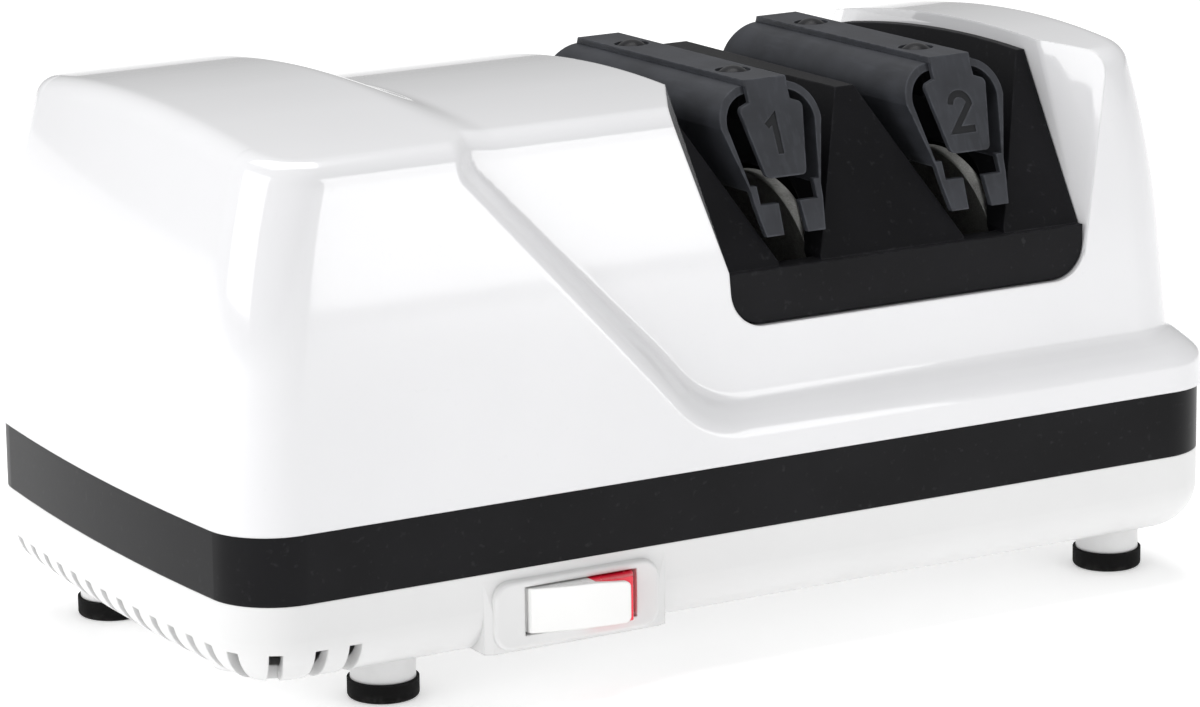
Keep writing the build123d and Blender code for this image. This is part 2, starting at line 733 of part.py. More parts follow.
def digit_lines(number):
    """The stroke of a stage number, drawn about its own centre."""
    if number == 1:
        return [Line((0, -3.2), (0, 3.2)), Line((0, 3.2), (-1.8, 1.9))]
    hook = ThreePointArc((-2.1, 1.5), (0, 3.3), (2.1, 1.4))
    slope = Line((2.1, 1.4), (-2.2, -3.2))
    foot = Line((-2.2, -3.2), (2.3, -3.2))
    return [hook, slope, foot]


def make_guide_bar(stage, number):
    strip = block(
        -BAR_HALF_WIDTH, BAR_HALF_WIDTH, -THROUGH, THROUGH, SPRING_TOP, SPRING_TOP + BAR_THICKNESS
    )
    strip &= spring_region(-TONGUE_THICKNESS, 0, THROUGH)
    tongue = prism_y(tongue_face(), -THROUGH, 0)
    tongue &= front_sheet(-TONGUE_THICKNESS - 0.1, TONGUE_THICKNESS, 0, THROUGH)
    digit = Pos(0, DIGIT_CENTRE_Z) * trace(digit_lines(number), DIGIT_STROKE)
    engraving = prism_y(digit, -THROUGH, 0)
    engraving &= front_sheet(-TONGUE_THICKNESS - 1.1, 1 + DIGIT_DEPTH, 0, THROUGH)
    form = strip + tongue - engraving
    for y in SCREW_Y:
        form -= post(0, y, SCREW_RADIUS + SCREW_HOLE_GAP, SPRING_WIDE_Z, THROUGH)
        form -= post(0, y, DOME_RADIUS + 0.5, SPRING_TOP + BAR_THICKNESS - DOME_SINK, THROUGH)
    return Pos(stage, 0, 0) * tip_back(form)


def make_guide_screws():
    screws = []
    seat = SPRING_TOP + BAR_THICKNESS - DOME_SINK
    ball = (DOME_RADIUS**2 + DOME_HEIGHT**2) / (2 * DOME_HEIGHT)
    for x in STAGE_X:
        for y in SCREW_Y:
            dome = Pos(x, y, seat + DOME_HEIGHT - ball) * Sphere(ball)
            dome &= post(x, y, DOME_RADIUS + 1, seat, seat + DOME_HEIGHT + 1)
            screws.append(tip_back(dome + post(x, y, SCREW_RADIUS, SPRING_WIDE_Z + 1, seat)))
    return screws


def rocker_zone(inset):
    """The rocker seen from above: a disc about its pivot, cut by its arched face."""
    left, middle, right = ROCKER_FACE
    arch = ThreePointArc(
        (left[0], left[1] + inset), (middle[0], middle[1] + inset), (right[0], right[1] + inset)
    )
    far = make_face([
        arch,
        Line((right[0], right[1] + inset), (right[0] + 20, right[1] + inset + 2)),
        Line((right[0] + 20, right[1] + inset + 2), (right[0] + 20, ROCKER_REAR)),
        Line((right[0] + 20, ROCKER_REAR), (left[0] - 20, ROCKER_REAR)),
        Line((left[0] - 20, ROCKER_REAR), (left[0] - 20, left[1] + inset + 2)),
        Line((left[0] - 20, left[1] + inset + 2), (left[0], left[1] + inset)),
    ])
    return far & Pos(PIVOT_X, PIVOT_Y) * Circle(ROCKER_RADIUS)


def cap_region():
    """The cap seen from the front: it stops short of the rocker's right end and is lower there."""
    right = ROCKER_FACE[2][0]
    face = polygon([
        (-THROUGH, ROCKER_BOTTOM),
        (right, ROCKER_BOTTOM),
        (right, CAP_TOP_RIGHT),
        (RED_LEFT, ROCKER_TOP),
        (-THROUGH, ROCKER_TOP),
    ])
    right_corners = face.vertices().sort_by(Axis.X)[-2:]
    return prism_y(fillet(right_corners, CAP_CORNER_RADIUS), -THROUGH, 0)


def make_rocker():
    core = prism_z(rocker_zone(CAP_THICKNESS), ROCKER_BOTTOM, ROCKER_TOP)
    core += post(
        PIVOT_X, PIVOT_Y, TRUNNION_RADIUS, OPENING_BOTTOM - SWITCH_RIM, OPENING_TOP + SWITCH_RIM
    )
    return core


def make_rocker_cap():
    skin = prism_z(rocker_zone(0) - rocker_zone(CAP_THICKNESS), ROCKER_BOTTOM, ROCKER_TOP)
    return skin & cap_region()


def make_switch_body():
    body = switch_room(SWITCH_MARGIN, SWITCH_FRONT)
    body -= block(
        PIVOT_X - ROCKER_RADIUS - 1.4,
        PIVOT_X + ROCKER_RADIUS + 1.4,
        -THROUGH,
        SWITCH_REAR - 10,
        OPENING_BOTTOM,
        OPENING_TOP,
    )
    body -= post(PIVOT_X, PIVOT_Y, TRUNNION_RADIUS + RUNNING_GAP, 0, THROUGH)
    return body + make_terminals()


def make_terminals():
    """Two blades at the back of the switch."""
    blades = []
    for x in TERMINAL_X:
        blades.append(block(
            x - TERMINAL_HALF_WIDTH,
            x + TERMINAL_HALF_WIDTH,
            SWITCH_REAR - 0.1,
            SWITCH_REAR + TERMINAL_LENGTH,
            *TERMINAL_Z,
        ))
    return blades


def make_motor_stator():
    middle = (STATOR_BOTTOM + STATOR_TOP) / 2
    window_height = STATOR_TOP - STATOR_BOTTOM - 2 * LIMB_DEPTH + 2
    core = block(
        STATOR_LEFT, STATOR_RIGHT, STATOR_FRONT, STATOR_REAR, STATOR_BOTTOM, STATOR_TOP
    )
    core -= on_shaft(STATOR_BORE, STATOR_LEFT - 1, STATOR_RIGHT + 1)
    core -= block(
        STATOR_LEFT - 1,
        STATOR_RIGHT + 1,
        WINDOW_FRONT,
        STATOR_REAR - LIMB_DEPTH,
        middle - window_height / 2,
        middle + window_height / 2,
    )
    for y in BOLT_Y:
        core -= bar_x(y, SHAFT_Z, BOLT_RADIUS + SCREW_HOLE_GAP, STATOR_LEFT - 1, STATOR_RIGHT + 1)
    return core


def bar_x(y, z, radius, left, right):
    return Pos((left + right) / 2, y, z) * Rot(0, 90, 0) * Cylinder(radius, right - left)


def make_motor_coil():
    middle = (STATOR_BOTTOM + STATOR_TOP) / 2
    half_height = (STATOR_TOP - STATOR_BOTTOM) / 2 - LIMB_DEPTH + 1 - FIT_GAP
    limb_front = STATOR_REAR - LIMB_DEPTH
    winding = block(
        STATOR_LEFT - COIL_THICKNESS,
        STATOR_RIGHT + COIL_THICKNESS,
        limb_front - COIL_THICKNESS,
        STATOR_REAR + COIL_THICKNESS,
        middle - half_height,
        middle + half_height,
    )
    winding = fillet(winding.edges().filter_by(Axis.Z), 5)
    winding -= block(
        STATOR_LEFT - FIT_GAP,
        STATOR_RIGHT + FIT_GAP,
        limb_front - FIT_GAP,
        STATOR_REAR + FIT_GAP,
        0,
        THROUGH,
    )
    return winding


def make_bracket():
    """The left bearing bracket, with standoffs that reach the stator."""
    face = SlotOverall(BOLT_Y[1] - BOLT_Y[0] + 14, 16)
    plate_left = STATOR_LEFT - BRACKET_GAP - BRACKET_THICKNESS
    plate = Pos(0, sum(BOLT_Y) / 2, SHAFT_Z) * prism_x(face, plate_left, plate_left + BRACKET_THICKNESS)
    for y in BOLT_Y:
        plate += bar_x(y, SHAFT_Z, STANDOFF_RADIUS, plate_left + 1, STATOR_LEFT)
        plate -= bar_x(y, SHAFT_Z, BOLT_RADIUS + SCREW_HOLE_GAP, plate_left - 1, STATOR_LEFT + 1)
    return plate - on_shaft(BUSH_RADIUS, plate_left - 1, plate_left + BRACKET_THICKNESS + 1)


def make_motor_brackets():
    left = make_bracket()
    turn = Plane.YZ.offset((STATOR_LEFT + STATOR_RIGHT) / 2)
    return [left, mirror(left, turn)]


def make_bush(middle):
    ring = on_shaft(BUSH_RADIUS, middle - BUSH_REACH, middle + BUSH_REACH)
    return ring - on_shaft(SHAFT_RADIUS + RUNNING_GAP, middle - 9, middle + 9)


def make_shaft_bearings():
    reach = BRACKET_GAP + BRACKET_THICKNESS / 2
    places = [STATOR_LEFT - reach, STATOR_RIGHT + reach, SUPPORT_LEFT + SUPPORT_THICKNESS / 2]
    return [make_bush(x) for x in places]


def make_motor_screws():
    reach = BRACKET_GAP + BRACKET_THICKNESS
    screws = []
    for y in BOLT_Y:
        left = STATOR_LEFT - reach
        right = STATOR_RIGHT + reach
        rod = bar_x(y, SHAFT_Z, BOLT_RADIUS, left - BOLT_HEAD / 2, right + NUT / 2)
        head = bar_x(y, SHAFT_Z, BOLT_HEAD_RADIUS, left - BOLT_HEAD, left)
        nut = bar_x(y, SHAFT_Z, BOLT_HEAD_RADIUS, right, right + NUT)
        screws.append(rod + head + nut)
    return screws


def make_shaft_support():
    right = SUPPORT_LEFT + SUPPORT_THICKNESS
    front = SHAFT_Y - SUPPORT_HALF_DEPTH
    rear = SHAFT_Y + SUPPORT_HALF_DEPTH
    floor = BASE_BOTTOM + WALL
    plate = block(SUPPORT_LEFT, right, front, rear, floor, SHAFT_Z)
    plate += on_shaft(SUPPORT_HALF_DEPTH, SUPPORT_LEFT, right)
    plate += block(SUPPORT_LEFT, right + SUPPORT_FOOT, front, rear, floor, floor + 2)
    return plate - on_shaft(BUSH_RADIUS, SUPPORT_LEFT - 1, right + 1)


def flat_sided_bar(gap, left, right):
    """The flatted part of the shaft, or with a gap the hole for it."""
    bar = on_shaft(SHAFT_RADIUS + gap, left, right)
    half = FLAT_HALF + gap
    return bar & block(left, right, -THROUGH, THROUGH, SHAFT_Z - half, SHAFT_Z + half)


def make_motor_shaft():
    return on_shaft(SHAFT_RADIUS, SHAFT_LEFT, FLATS_LEFT) + flat_sided_bar(
        0, FLATS_LEFT, SUPPORT_LEFT - 2
    ) + on_shaft(SHAFT_RADIUS, SUPPORT_LEFT - 2, SHAFT_RIGHT)


def make_rotor_core():
    core = on_shaft(ROTOR_RADIUS, STATOR_LEFT, STATOR_RIGHT)
    core += on_shaft(ROTOR_RADIUS - 3, STATOR_LEFT - 2, STATOR_RIGHT + 2)
    return core - on_shaft(SHAFT_RADIUS, STATOR_LEFT - 5, STATOR_RIGHT + 5)


def make_cooling_fan():
    fan = on_shaft(FAN_HUB_RADIUS, FAN_LEFT, FAN_LEFT + FAN_WIDTH)
    length = FAN_RADIUS - FAN_HUB_RADIUS + 1
    blade = Pos(0, 0, FAN_RADIUS - length / 2) * Rot(0, 0, FAN_PITCH) * Box(
        FAN_WIDTH * 1.1, BLADE_THICKNESS, length
    )
    for turn in range(FAN_BLADES):
        angle = turn * 360 / FAN_BLADES
        fan += Pos(FAN_LEFT + FAN_WIDTH / 2, SHAFT_Y, SHAFT_Z) * Rot(angle, 0, 0) * blade
    fan &= on_shaft(FAN_RADIUS, FAN_LEFT, FAN_LEFT + FAN_WIDTH)
    return fan - on_shaft(SHAFT_RADIUS, FAN_LEFT - 1, FAN_LEFT + FAN_WIDTH + 1)


def make_shaft_collars():
    """Spring seats between the discs, and stops outside them."""
    collars = []
    stop = DISC_OUT + DISC_CONE + FIT_GAP
    for stage in STAGE_X:
        bores = flat_sided_bar(0, stage - 20, stage + 20)
        collars.append(on_shaft(COIL_RADIUS + 2, stage - SPRING_SEAT, stage + SPRING_SEAT) - bores)
        for side in (-1, 1):
            near = stage + side * stop
            far = stage + side * (stop + COLLAR_LENGTH)
            collars.append(on_shaft(COLLAR_RADIUS, min(near, far), max(near, far)) - bores)
    return collars


def make_disc(stage, side):
    bore = SHAFT_RADIUS
    rim = DISC_OUT - DISC_THICKNESS
    hub_face = DISC_OUT + DISC_CONE
    profile = polygon([
        (HUB_IN, 0),
        (hub_face, 0),
        (hub_face, HUB_RADIUS),
        (DISC_OUT, DISC_RADIUS),
        (rim, DISC_RADIUS),
        (rim + DISC_CONE, HUB_RADIUS),
        (HUB_IN, HUB_RADIUS),
    ])
    disc = revolve(profile, Axis.X)
    if side < 0:
        disc = mirror(disc, Plane.YZ)
    disc = Pos(stage, SHAFT_Y, SHAFT_Z) * disc
    return disc - flat_sided_bar(RUNNING_GAP, stage - 20, stage + 20)


def make_disc_spring(stage, side):
    start = SPRING_SEAT + COIL_WIRE + 0.2
    seat = DISC_OUT - DISC_THICKNESS + DISC_CONE * (DISC_RADIUS - COIL_RADIUS) / (
        DISC_RADIUS - HUB_RADIUS
    )
    height = seat - COIL_WIRE - 0.2 - start
    path = Helix(pitch=height / COIL_TURNS, height=height, radius=COIL_RADIUS)
    section = Plane(origin=path @ 0, z_dir=path % 0) * Circle(COIL_WIRE)
    coil = Rot(0, 90, 0) * sweep(section, path)
    coil = Pos(start, 0, 0) * coil
    if side < 0:
        coil = mirror(coil, Plane.YZ)
    return Pos(stage, SHAFT_Y, SHAFT_Z) * coil


def build_all():
    parts = {
        "top_housing": make_top_housing(),
        "trim_band": make_trim_band(),
        "base_housing": make_base_housing(),
        "housing_screws": make_housing_screws(),
        "cord_gland": make_cord_gland(),
        "cleanout_cover": make_cleanout_cover(),
        "swarf_magnet": make_swarf_magnet(),
        "guide_block": make_guide_block(),
        "guide_screws": make_guide_screws(),
        "switch_body": make_switch_body(),
        "rocker": make_rocker(),
        "rocker_cap": make_rocker_cap(),
        "motor_stator": make_motor_stator(),
        "motor_coil": make_motor_coil(),
        "motor_brackets": make_motor_brackets(),
        "motor_screws": make_motor_screws(),
        "shaft_bearings": make_shaft_bearings(),
        "shaft_support": make_shaft_support(),
        "motor_shaft": make_motor_shaft(),
        "rotor_core": make_rotor_core(),
        "cooling_fan": make_cooling_fan(),
        "shaft_collars": make_shaft_collars(),
    }
    for place, (x, y) in FEET.items():
        parts[f"foot_{place}"] = make_foot(x, y)
    for number, stage in enumerate(STAGE_X, start=1):
        parts[f"guide_spring_{number}"] = make_guide_spring(stage)
        parts[f"guide_bar_{number}"] = make_guide_bar(stage, number)
        for side, word in ((-1, "left"), (1, "right")):
            parts[f"disc_{number}_{word}"] = make_disc(stage, side)
            parts[f"disc_spring_{number}_{word}"] = make_disc_spring(stage, side)
    return parts


os.makedirs("parts", exist_ok=True)
for node, form in build_all().items():
    if isinstance(form, list):
        form = Compound(children=form)
    export_step(form, f"parts/{node}.step")
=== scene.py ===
import math

import bmesh
import bpy
import numpy as np
from mathutils import Matrix, Vector
from mathutils.geometry import delaunay_2d_cdt


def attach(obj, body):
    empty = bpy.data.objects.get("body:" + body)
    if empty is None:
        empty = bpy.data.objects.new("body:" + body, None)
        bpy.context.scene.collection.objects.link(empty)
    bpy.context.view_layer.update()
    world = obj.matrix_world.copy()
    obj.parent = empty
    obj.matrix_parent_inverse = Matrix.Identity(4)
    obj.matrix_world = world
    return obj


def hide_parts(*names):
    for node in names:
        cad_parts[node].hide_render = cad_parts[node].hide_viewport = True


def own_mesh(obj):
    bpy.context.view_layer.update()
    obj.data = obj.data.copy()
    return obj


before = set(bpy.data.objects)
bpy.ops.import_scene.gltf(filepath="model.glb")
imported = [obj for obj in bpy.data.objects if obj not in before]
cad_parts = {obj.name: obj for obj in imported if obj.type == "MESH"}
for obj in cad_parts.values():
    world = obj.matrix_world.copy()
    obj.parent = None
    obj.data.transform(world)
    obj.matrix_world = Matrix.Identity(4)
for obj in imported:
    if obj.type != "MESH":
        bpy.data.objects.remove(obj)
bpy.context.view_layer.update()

bl_info = {
    "name": "Electric knife sharpener",
    "version": (1, 0, 0),
    "blender": (4, 5, 0),
    "location": "View3D > Sidebar > Sharpener",
    "description": "Upper shell, finishes and stage of a two stage electric knife sharpener",
    "category": "Object",
}

MM = 0.001


# ---------------------------------------------------------------- sizes and colours


def length(name, description, default):
    """A length that a user may change, in metres."""
    return bpy.props.FloatProperty(
        name=name, description=description, default=default, min=0.0, unit="LENGTH", precision=4
    )


def colour(name, description, default):
    """A linear colour that a user may change."""
    return bpy.props.FloatVectorProperty(
        name=name,
        description=description,
        default=default,
        size=3,
        min=0.0,
        max=1.0,
        subtype="COLOR",
    )


def share(name, description, default):
    """A number from 0 to 1."""
    return bpy.props.FloatProperty(
        name=name, description=description, default=default, min=0.0, max=1.0, subtype="FACTOR"
    )


class ShellSizes(bpy.types.PropertyGroup):
    """Sizes of the upper shell, as its tool maker would list them."""

    half_length: length("Half length", "From the middle to the end at the shell's foot", 108 * MM)
    half_depth: length("Half depth", "From the middle to the front at the shell's foot", 56.2 * MM)
    end_bow: length("End bow", "How far each end bulges between its corners", 3 * MM)
    corner_radius: length("Corner radius", "Upright corners, seen from above", 12.8 * MM)
    overhang: length("Overhang", "How far the shell stands proud of the band", 0.8 * MM)
    foot: length("Foot height", "Where the shell sits on the band", 38.9 * MM)
    lean: bpy.props.FloatProperty(
        name="Lean",
        description="How far the walls lean in from upright",
        default=math.radians(4.0),
        min=0.0,
        max=0.5,
        subtype="ANGLE",
    )
    curve_start: length("Curve start", "Height where the ends begin to curve in", 68 * MM)
    curve_radius: length("Curve radius", "Radius of the ends near the top", 150 * MM)
    top: length("Top height", "Crown of the motor end", 108.4 * MM)
    crown_radius: length("Crown radius", "Roll of the top from front to rear", 300 * MM)
    rim_radius: length("Rim radius", "Rounding between the walls and the top", 5 * MM)
    recess_depth: length("Recess depth", "How far the guide end's walls lie behind", 4.4 * MM)
    recess_drop: length("Recess drop", "How far the guide end's crest lies below", 2.6 * MM)
    recess_shift: length("Recess shift", "How far forward the guide end's crest lies", 18 * MM)
    hump_rise: length("Hump rise", "Rise of the far end above the recess", 0.8 * MM)
    wall: length("Wall", "Wall thickness", 2.5 * MM)
    cell: length("Cell", "Spacing of the mesh on the walls", 0.7 * MM)
    edge_radius: length("Edge radius", "Softness of the cut edges", 0.7 * MM)


class Finishes(bpy.types.PropertyGroup):
    """Colours of the moulded and metal parts."""

    shell: colour("Shell", "Gloss white of the upper shell", (0.80, 0.80, 0.815))
    base: colour("Base", "Satin white of the base and its door", (0.77, 0.77, 0.77))
    band: colour("Band", "Black of the band", (0.006, 0.006, 0.007))
    guide: colour("Guide block", "Near black of the guide block", (0.006, 0.006, 0.0072))
    spring: colour("Springs", "Blue grey of the springs and strips", (0.031, 0.033, 0.039))
    inner: colour("Inner plastic", "Black of the fan, gland and switch body", (0.02, 0.02, 0.02))
    red: colour("Rocker", "Red of the rocker's core", (0.95, 0.012, 0.045))
    cap: colour("Rocker cap", "White of the rocker's cap", (0.95, 0.95, 0.94))
    rubber: colour("Rubber", "Black of the feet", (0.004, 0.004, 0.004))
    steel: colour("Steel", "Bright steel", (0.56, 0.56, 0.55))
    copper: colour("Copper", "Enamelled copper wire", (0.62, 0.24, 0.09))
    bronze: colour("Bronze", "Sintered bronze of the bushes", (0.42, 0.28, 0.12))
    alloy: colour("Alloy", "Die cast alloy of the rotor", (0.50, 0.50, 0.52))
    grit: colour("Grit", "Diamond grit on the discs", (0.48, 0.48, 0.46))


class StageSizes(bpy.types.PropertyGroup):
    """The floor, the camera and the light."""

    floor_size: length("Floor size", "Side of the square floor", 8.0)
    lens: bpy.props.FloatProperty(
        name="Lens", description="Focal length on a 36 mm sensor, in mm", default=162.27, min=10.0
    )
    sky: share("Sky", "Brightness of the soft light all round", 0.4)
    floor: colour("Floor", "Pale paper under the sharpener", (0.93, 0.93, 0.93))


# ---------------------------------------------------------------- shader maths

# The mix node's colour sockets, by number
MIX_FACTOR, MIX_FIRST, MIX_SECOND, MIX_COLOUR = 0, 6, 7, 2
BEVEL_SAMPLES = 6
# 1 less the cosine of a softened normal's turn: where an edge starts to count, and counts in full
EDGE_BEND = (0.01, 0.12)


class Value:
    """A socket of a finish, with which shader maths reads as a Python expression."""

    def __init__(self, finish, socket):
        self.finish = finish
        self.socket = socket

    def maths(self, operation, *others):
        """This value and others, put through one maths node."""
        return self.finish.node(
            "ShaderNodeMath", {"operation": operation}, dict(enumerate((self, *others)))
        )

    def __add__(self, other):
        return self.maths("ADD", other)

    def __radd__(self, other):
        return self.maths("ADD", other)

    def __sub__(self, other):
        return self.maths("SUBTRACT", other)

    def __rsub__(self, other):
        return self.finish.node(
            "ShaderNodeMath", {"operation": "SUBTRACT"}, {0: other, 1: self}
        )

    def __mul__(self, other):
        return self.maths("MULTIPLY", other)

    def __truediv__(self, other):
        return self.maths("DIVIDE", other)

    def __abs__(self):
        return self.maths("ABSOLUTE")

    def ramp(self, low, high):
        """0 below low, 1 above high, and a smooth rise between."""
        return self.finish.node(
            "ShaderNodeMapRange",
            {"interpolation_type": "SMOOTHSTEP"},
            {"Value": self, "From Min": low, "From Max": high},
        )

    def within(self, low, high, soft):
        """1 between low and high, with a soft rise and fall just inside them."""
        return self.ramp(low, low + soft) * (1 - self.ramp(high - soft, high))


class Finish:
    """A procedural material on one Principled shader."""

    def __init__(self, name, **constants):
        self.material = bpy.data.materials.new(name)
        self.material.use_nodes = True
        self.tree = self.material.node_tree
        self.shader = self.tree.nodes["Principled BSDF"]
        for key, value in constants.items():
            socket = key.replace("_", " ").title().replace("Ior", "IOR")
            self.shader.inputs[socket].default_value = value
        self.place = self.node("ShaderNodeTexCoord", output="Object")
        parts = self.tree.nodes.new("ShaderNodeSeparateXYZ")
        self.tree.links.new(self.place.socket, parts.inputs[0])
        self.x, self.y, self.z = (Value(self, parts.outputs[i]) for i in range(3))

    def node(self, kind, settings=None, inputs=None, output=0):
        """Adds a node: its settings first, then the values or links of its sockets."""
        made = self.tree.nodes.new(kind)
        for key, value in (settings or {}).items():
            setattr(made, key, value)
        for key, value in (inputs or {}).items():
            if isinstance(value, Value):
                self.tree.links.new(value.socket, made.inputs[key])
            else:
                made.inputs[key].default_value = value
        return Value(self, made.outputs[output])

    def noise(self, size, detail=2.0, place=None):
        """Soft noise about 0.5 whose features are about size across, in metres."""
        return self.node(
            "ShaderNodeTexNoise",
            None,
            {"Vector": place or self.place, "Scale": 1 / size, "Detail": detail},
        )

    def cells(self, size):
        """Distance to the nearest of many scattered points, about size apart."""
        return self.node(
            "ShaderNodeTexVoronoi", None, {"Vector": self.place, "Scale": 1 / size}, "Distance"
        )

    def stretched(self, x, y, z):
        """The place on the piece, squeezed along its axes so that noise becomes brushed lines."""
        return self.node(
            "ShaderNodeVectorMath", {"operation": "MULTIPLY"}, {0: self.place, 1: (x, y, z)}
        )

    def blend(self, mask, first, second):
        """From the first colour to the second, as the mask goes from 0 to 1."""
        mix = self.tree.nodes.new("ShaderNodeMix")
        mix.data_type = "RGBA"
        self.tree.links.new(mask.socket, mix.inputs[MIX_FACTOR])
        for socket, tone in ((mix.inputs[MIX_FIRST], first), (mix.inputs[MIX_SECOND], second)):
            if isinstance(tone, Value):
                self.tree.links.new(tone.socket, socket)
            else:
                socket.default_value = (*tone, 1.0)
        return Value(self, mix.outputs[MIX_COLOUR])

    def edges(self, radius):
        """Towards 1 within a radius of a sharp edge, and 0 on open surfaces."""
        bent = self.node("ShaderNodeBevel", {"samples": BEVEL_SAMPLES}, {"Radius": radius})
        flat = self.node("ShaderNodeNewGeometry", output="Normal")
        alike = self.node(
            "ShaderNodeVectorMath", {"operation": "DOT_PRODUCT"}, {0: bent, 1: flat}, "Value"
        )
        return (1 - alike).ramp(*EDGE_BEND)

    def relief(self, height, depth, soft_edges=0.0):
        """Turns a height from 0 to 1 into bumps of that depth, on edges softened by a radius."""
        inputs = {"Height": height, "Distance": depth, "Strength": 1.0}
        if soft_edges:
            inputs["Normal"] = self.node(
                "ShaderNodeBevel", {"samples": BEVEL_SAMPLES}, {"Radius": soft_edges}
            )
        self.set("Normal", self.node("ShaderNodeBump", None, inputs))

    def set(self, name, value):
        """Feeds one of the shader's sockets."""
        self.tree.links.new(value.socket, self.shader.inputs[name])


def tint(tone, factor):
    """A colour made darker or lighter by a factor."""
    return tuple(min(1.0, part * factor) for part in tone)


def finishes():
    """The colours that a user may change."""
    return bpy.context.scene.sharpener_finishes


def dress(finish, *names):
    """Gives a finish to CAD nodes and pieces of those names."""
    for name in names:
        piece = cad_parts[name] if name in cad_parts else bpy.data.objects[name]
        piece.data.materials.clear()
        piece.data.materials.append(finish.material)


# ---------------------------------------------------------------- finishes


def gloss_white():
    """Glossy moulded white with a trace of flow, scattered dust specks and rubbed edges."""
    tone = tuple(finishes().shell)
    f = Finish("gloss_white", roughness=0.2, ior=1.5, coat_roughness=0.035)
    flow = f.noise(60 * MM, 3.0)
    speck = f.noise(0.9 * MM, 2.0).ramp(0.66, 0.76)
    worn = f.edges(0.8 * MM) * f.noise(5 * MM, 4.0).ramp(0.4, 0.65)
    base = f.blend(flow.ramp(0.35, 0.7), tint(tone, 0.985), tint(tone, 1.01))
    base = f.blend(speck * 0.05, base, (0.55, 0.54, 0.52))
    f.set("Base Color", f.blend(worn * 0.35, base, (0.86, 0.86, 0.85)))
    f.set("Roughness", 0.08 + f.noise(14 * MM, 4.0) * 0.04 + worn * 0.12 + speck * 0.1)
    f.set("Coat Weight", 0.75 - worn * 0.3)
    peel = f.noise(2.4 * MM, 2.0) * 0.8 + f.noise(0.5 * MM, 1.0) * 0.2
    f.relief(peel, 0.006 * MM, bpy.context.scene.sharpener_shell.edge_radius)
    return f


def satin_white(name, tone):
    """Satin moulded white, finely sparked, greyer in patches towards the bottom as painted shade.
    """
    f = Finish(name, roughness=0.36, ior=1.47)
    cloud = f.noise(35 * MM, 4.0)
    worn = f.edges(0.6 * MM) * f.noise(4 * MM, 3.0).ramp(0.38, 0.62)
    base = f.blend(cloud.ramp(0.3, 0.75), tint(tone, 0.975), tint(tone, 1.015))
    # painted shade: patchy grey below 9 to 16 mm, where the base curves under
    dust_and_shade = (1 - f.z.ramp(9 * MM, 16 * MM)) * f.noise(7 * MM, 5.0).ramp(0.45, 0.7)
    base = f.blend(dust_and_shade * 0.12, base, (0.45, 0.44, 0.42))
    f.set("Base Color", f.blend(worn * 0.4, base, (0.84, 0.84, 0.83)))
    f.set("Roughness", 0.3 + cloud * 0.1 + worn * 0.1)
    f.relief(f.noise(0.35 * MM, 2.0), 0.006 * MM, 0.5 * MM)
    return f


def satin_black(name, tone, grain, grain_depth, roughness, edge):
    """Black moulded plastic with a spark eroded grain and greyer worn edges."""
    f = Finish(name, roughness=roughness, specular_ior_level=0.11)
    pits = f.cells(grain) * 0.6 + f.noise(grain * 0.6, 3.0) * 0.4
    cloud = f.noise(22 * MM, 5.0)
    worn = f.edges(edge) * f.noise(3 * MM, 4.0).ramp(0.36, 0.62)
    dust_and_shade = f.noise(1.6 * MM, 4.0).ramp(0.6, 0.8) * 0.16
    base = f.blend(cloud.ramp(0.3, 0.7), tint(tone, 0.8), tint(tone, 1.25))
    base = f.blend(dust_and_shade, base, (0.09, 0.09, 0.095))
    f.set("Base Color", f.blend(worn * 0.5, base, tint(tone, 4.5)))
    f.set("Roughness", roughness - 0.06 + pits * 0.1 + cloud * 0.08 - worn * 0.1)
    f.relief(pits, grain_depth, edge * 0.8)
    return f


# The marks that knives rub into the springs: their width, and how they are drawn out
RUB_WIDTH = 1.1 * MM
RUB_STRETCH = (1, 0.12, 0.3)


def spring_plastic(name, digits=False):
    """Matt blue grey plastic of the springs and strips, lighter where it is rubbed."""
    tone = tuple(finishes().spring)
    f = Finish(name, roughness=0.55, specular_ior_level=0.3)
    grain = f.cells(0.28 * MM) * 0.5 + f.noise(0.2 * MM, 3.0) * 0.5
    cloud = f.noise(9 * MM, 5.0)
    worn = f.edges(0.7 * MM) * f.noise(2.5 * MM, 4.0).ramp(0.34, 0.6)
    rubbed = f.noise(RUB_WIDTH, 3.0, place=f.stretched(*RUB_STRETCH)).ramp(0.5, 0.72)
    base = f.blend(cloud.ramp(0.3, 0.7), tint(tone, 0.82), tint(tone, 1.2))
    base = f.blend(rubbed * 0.25, base, tint(tone, 1.9))
    base = f.blend(worn * 0.55, base, tint(tone, 3.0))
    if digits:
        # painted shade: the stage numbers' sunken floors drawn darker
        base = f.blend(digit_floor(f), base, tint(tone, 0.35))
    f.set("Base Color", base)
    f.set("Roughness", 0.46 + grain * 0.1 + cloud * 0.08 - worn * 0.08)
    f.relief(grain, 0.012 * MM, 0.35 * MM)
    return f


# The stage numbers on the tongues. A tongue's face goes back TONGUE_LEAN for each step up,
# and TONGUE_PLACE is how far in front of the middle it would meet the floor.
STAGE_X = (14.5 * MM, 55.5 * MM)
TONGUE_LEAN = 0.4512
TONGUE_PLACE = 83.68 * MM
DIGIT_DEPTH = (0.14 * MM, 0.6 * MM)
DIGIT_HEIGHT = (91 * MM, 100 * MM)
DIGIT_REACH = (2.9 * MM, 3.1 * MM)


def digit_floor(f):
    """1 on the sunken floors of the stage numbers, which are drawn darker than the strip as painted
    shade in the recesses.
    """
    depth = f.y - f.z * TONGUE_LEAN + TONGUE_PLACE
    sunk = depth.within(*DIGIT_DEPTH, 0.1 * MM)
    tall = f.z.within(*DIGIT_HEIGHT, 0.2 * MM)
    near = 0.0
    for stage in STAGE_X:
        near = (1 - abs(f.x - stage).ramp(*DIGIT_REACH)) + near
    return sunk * tall * near


# Where the rocker's red shot starts, and half the width of the join
RED_START = -37.0 * MM
RED_BLUR = 0.08 * MM


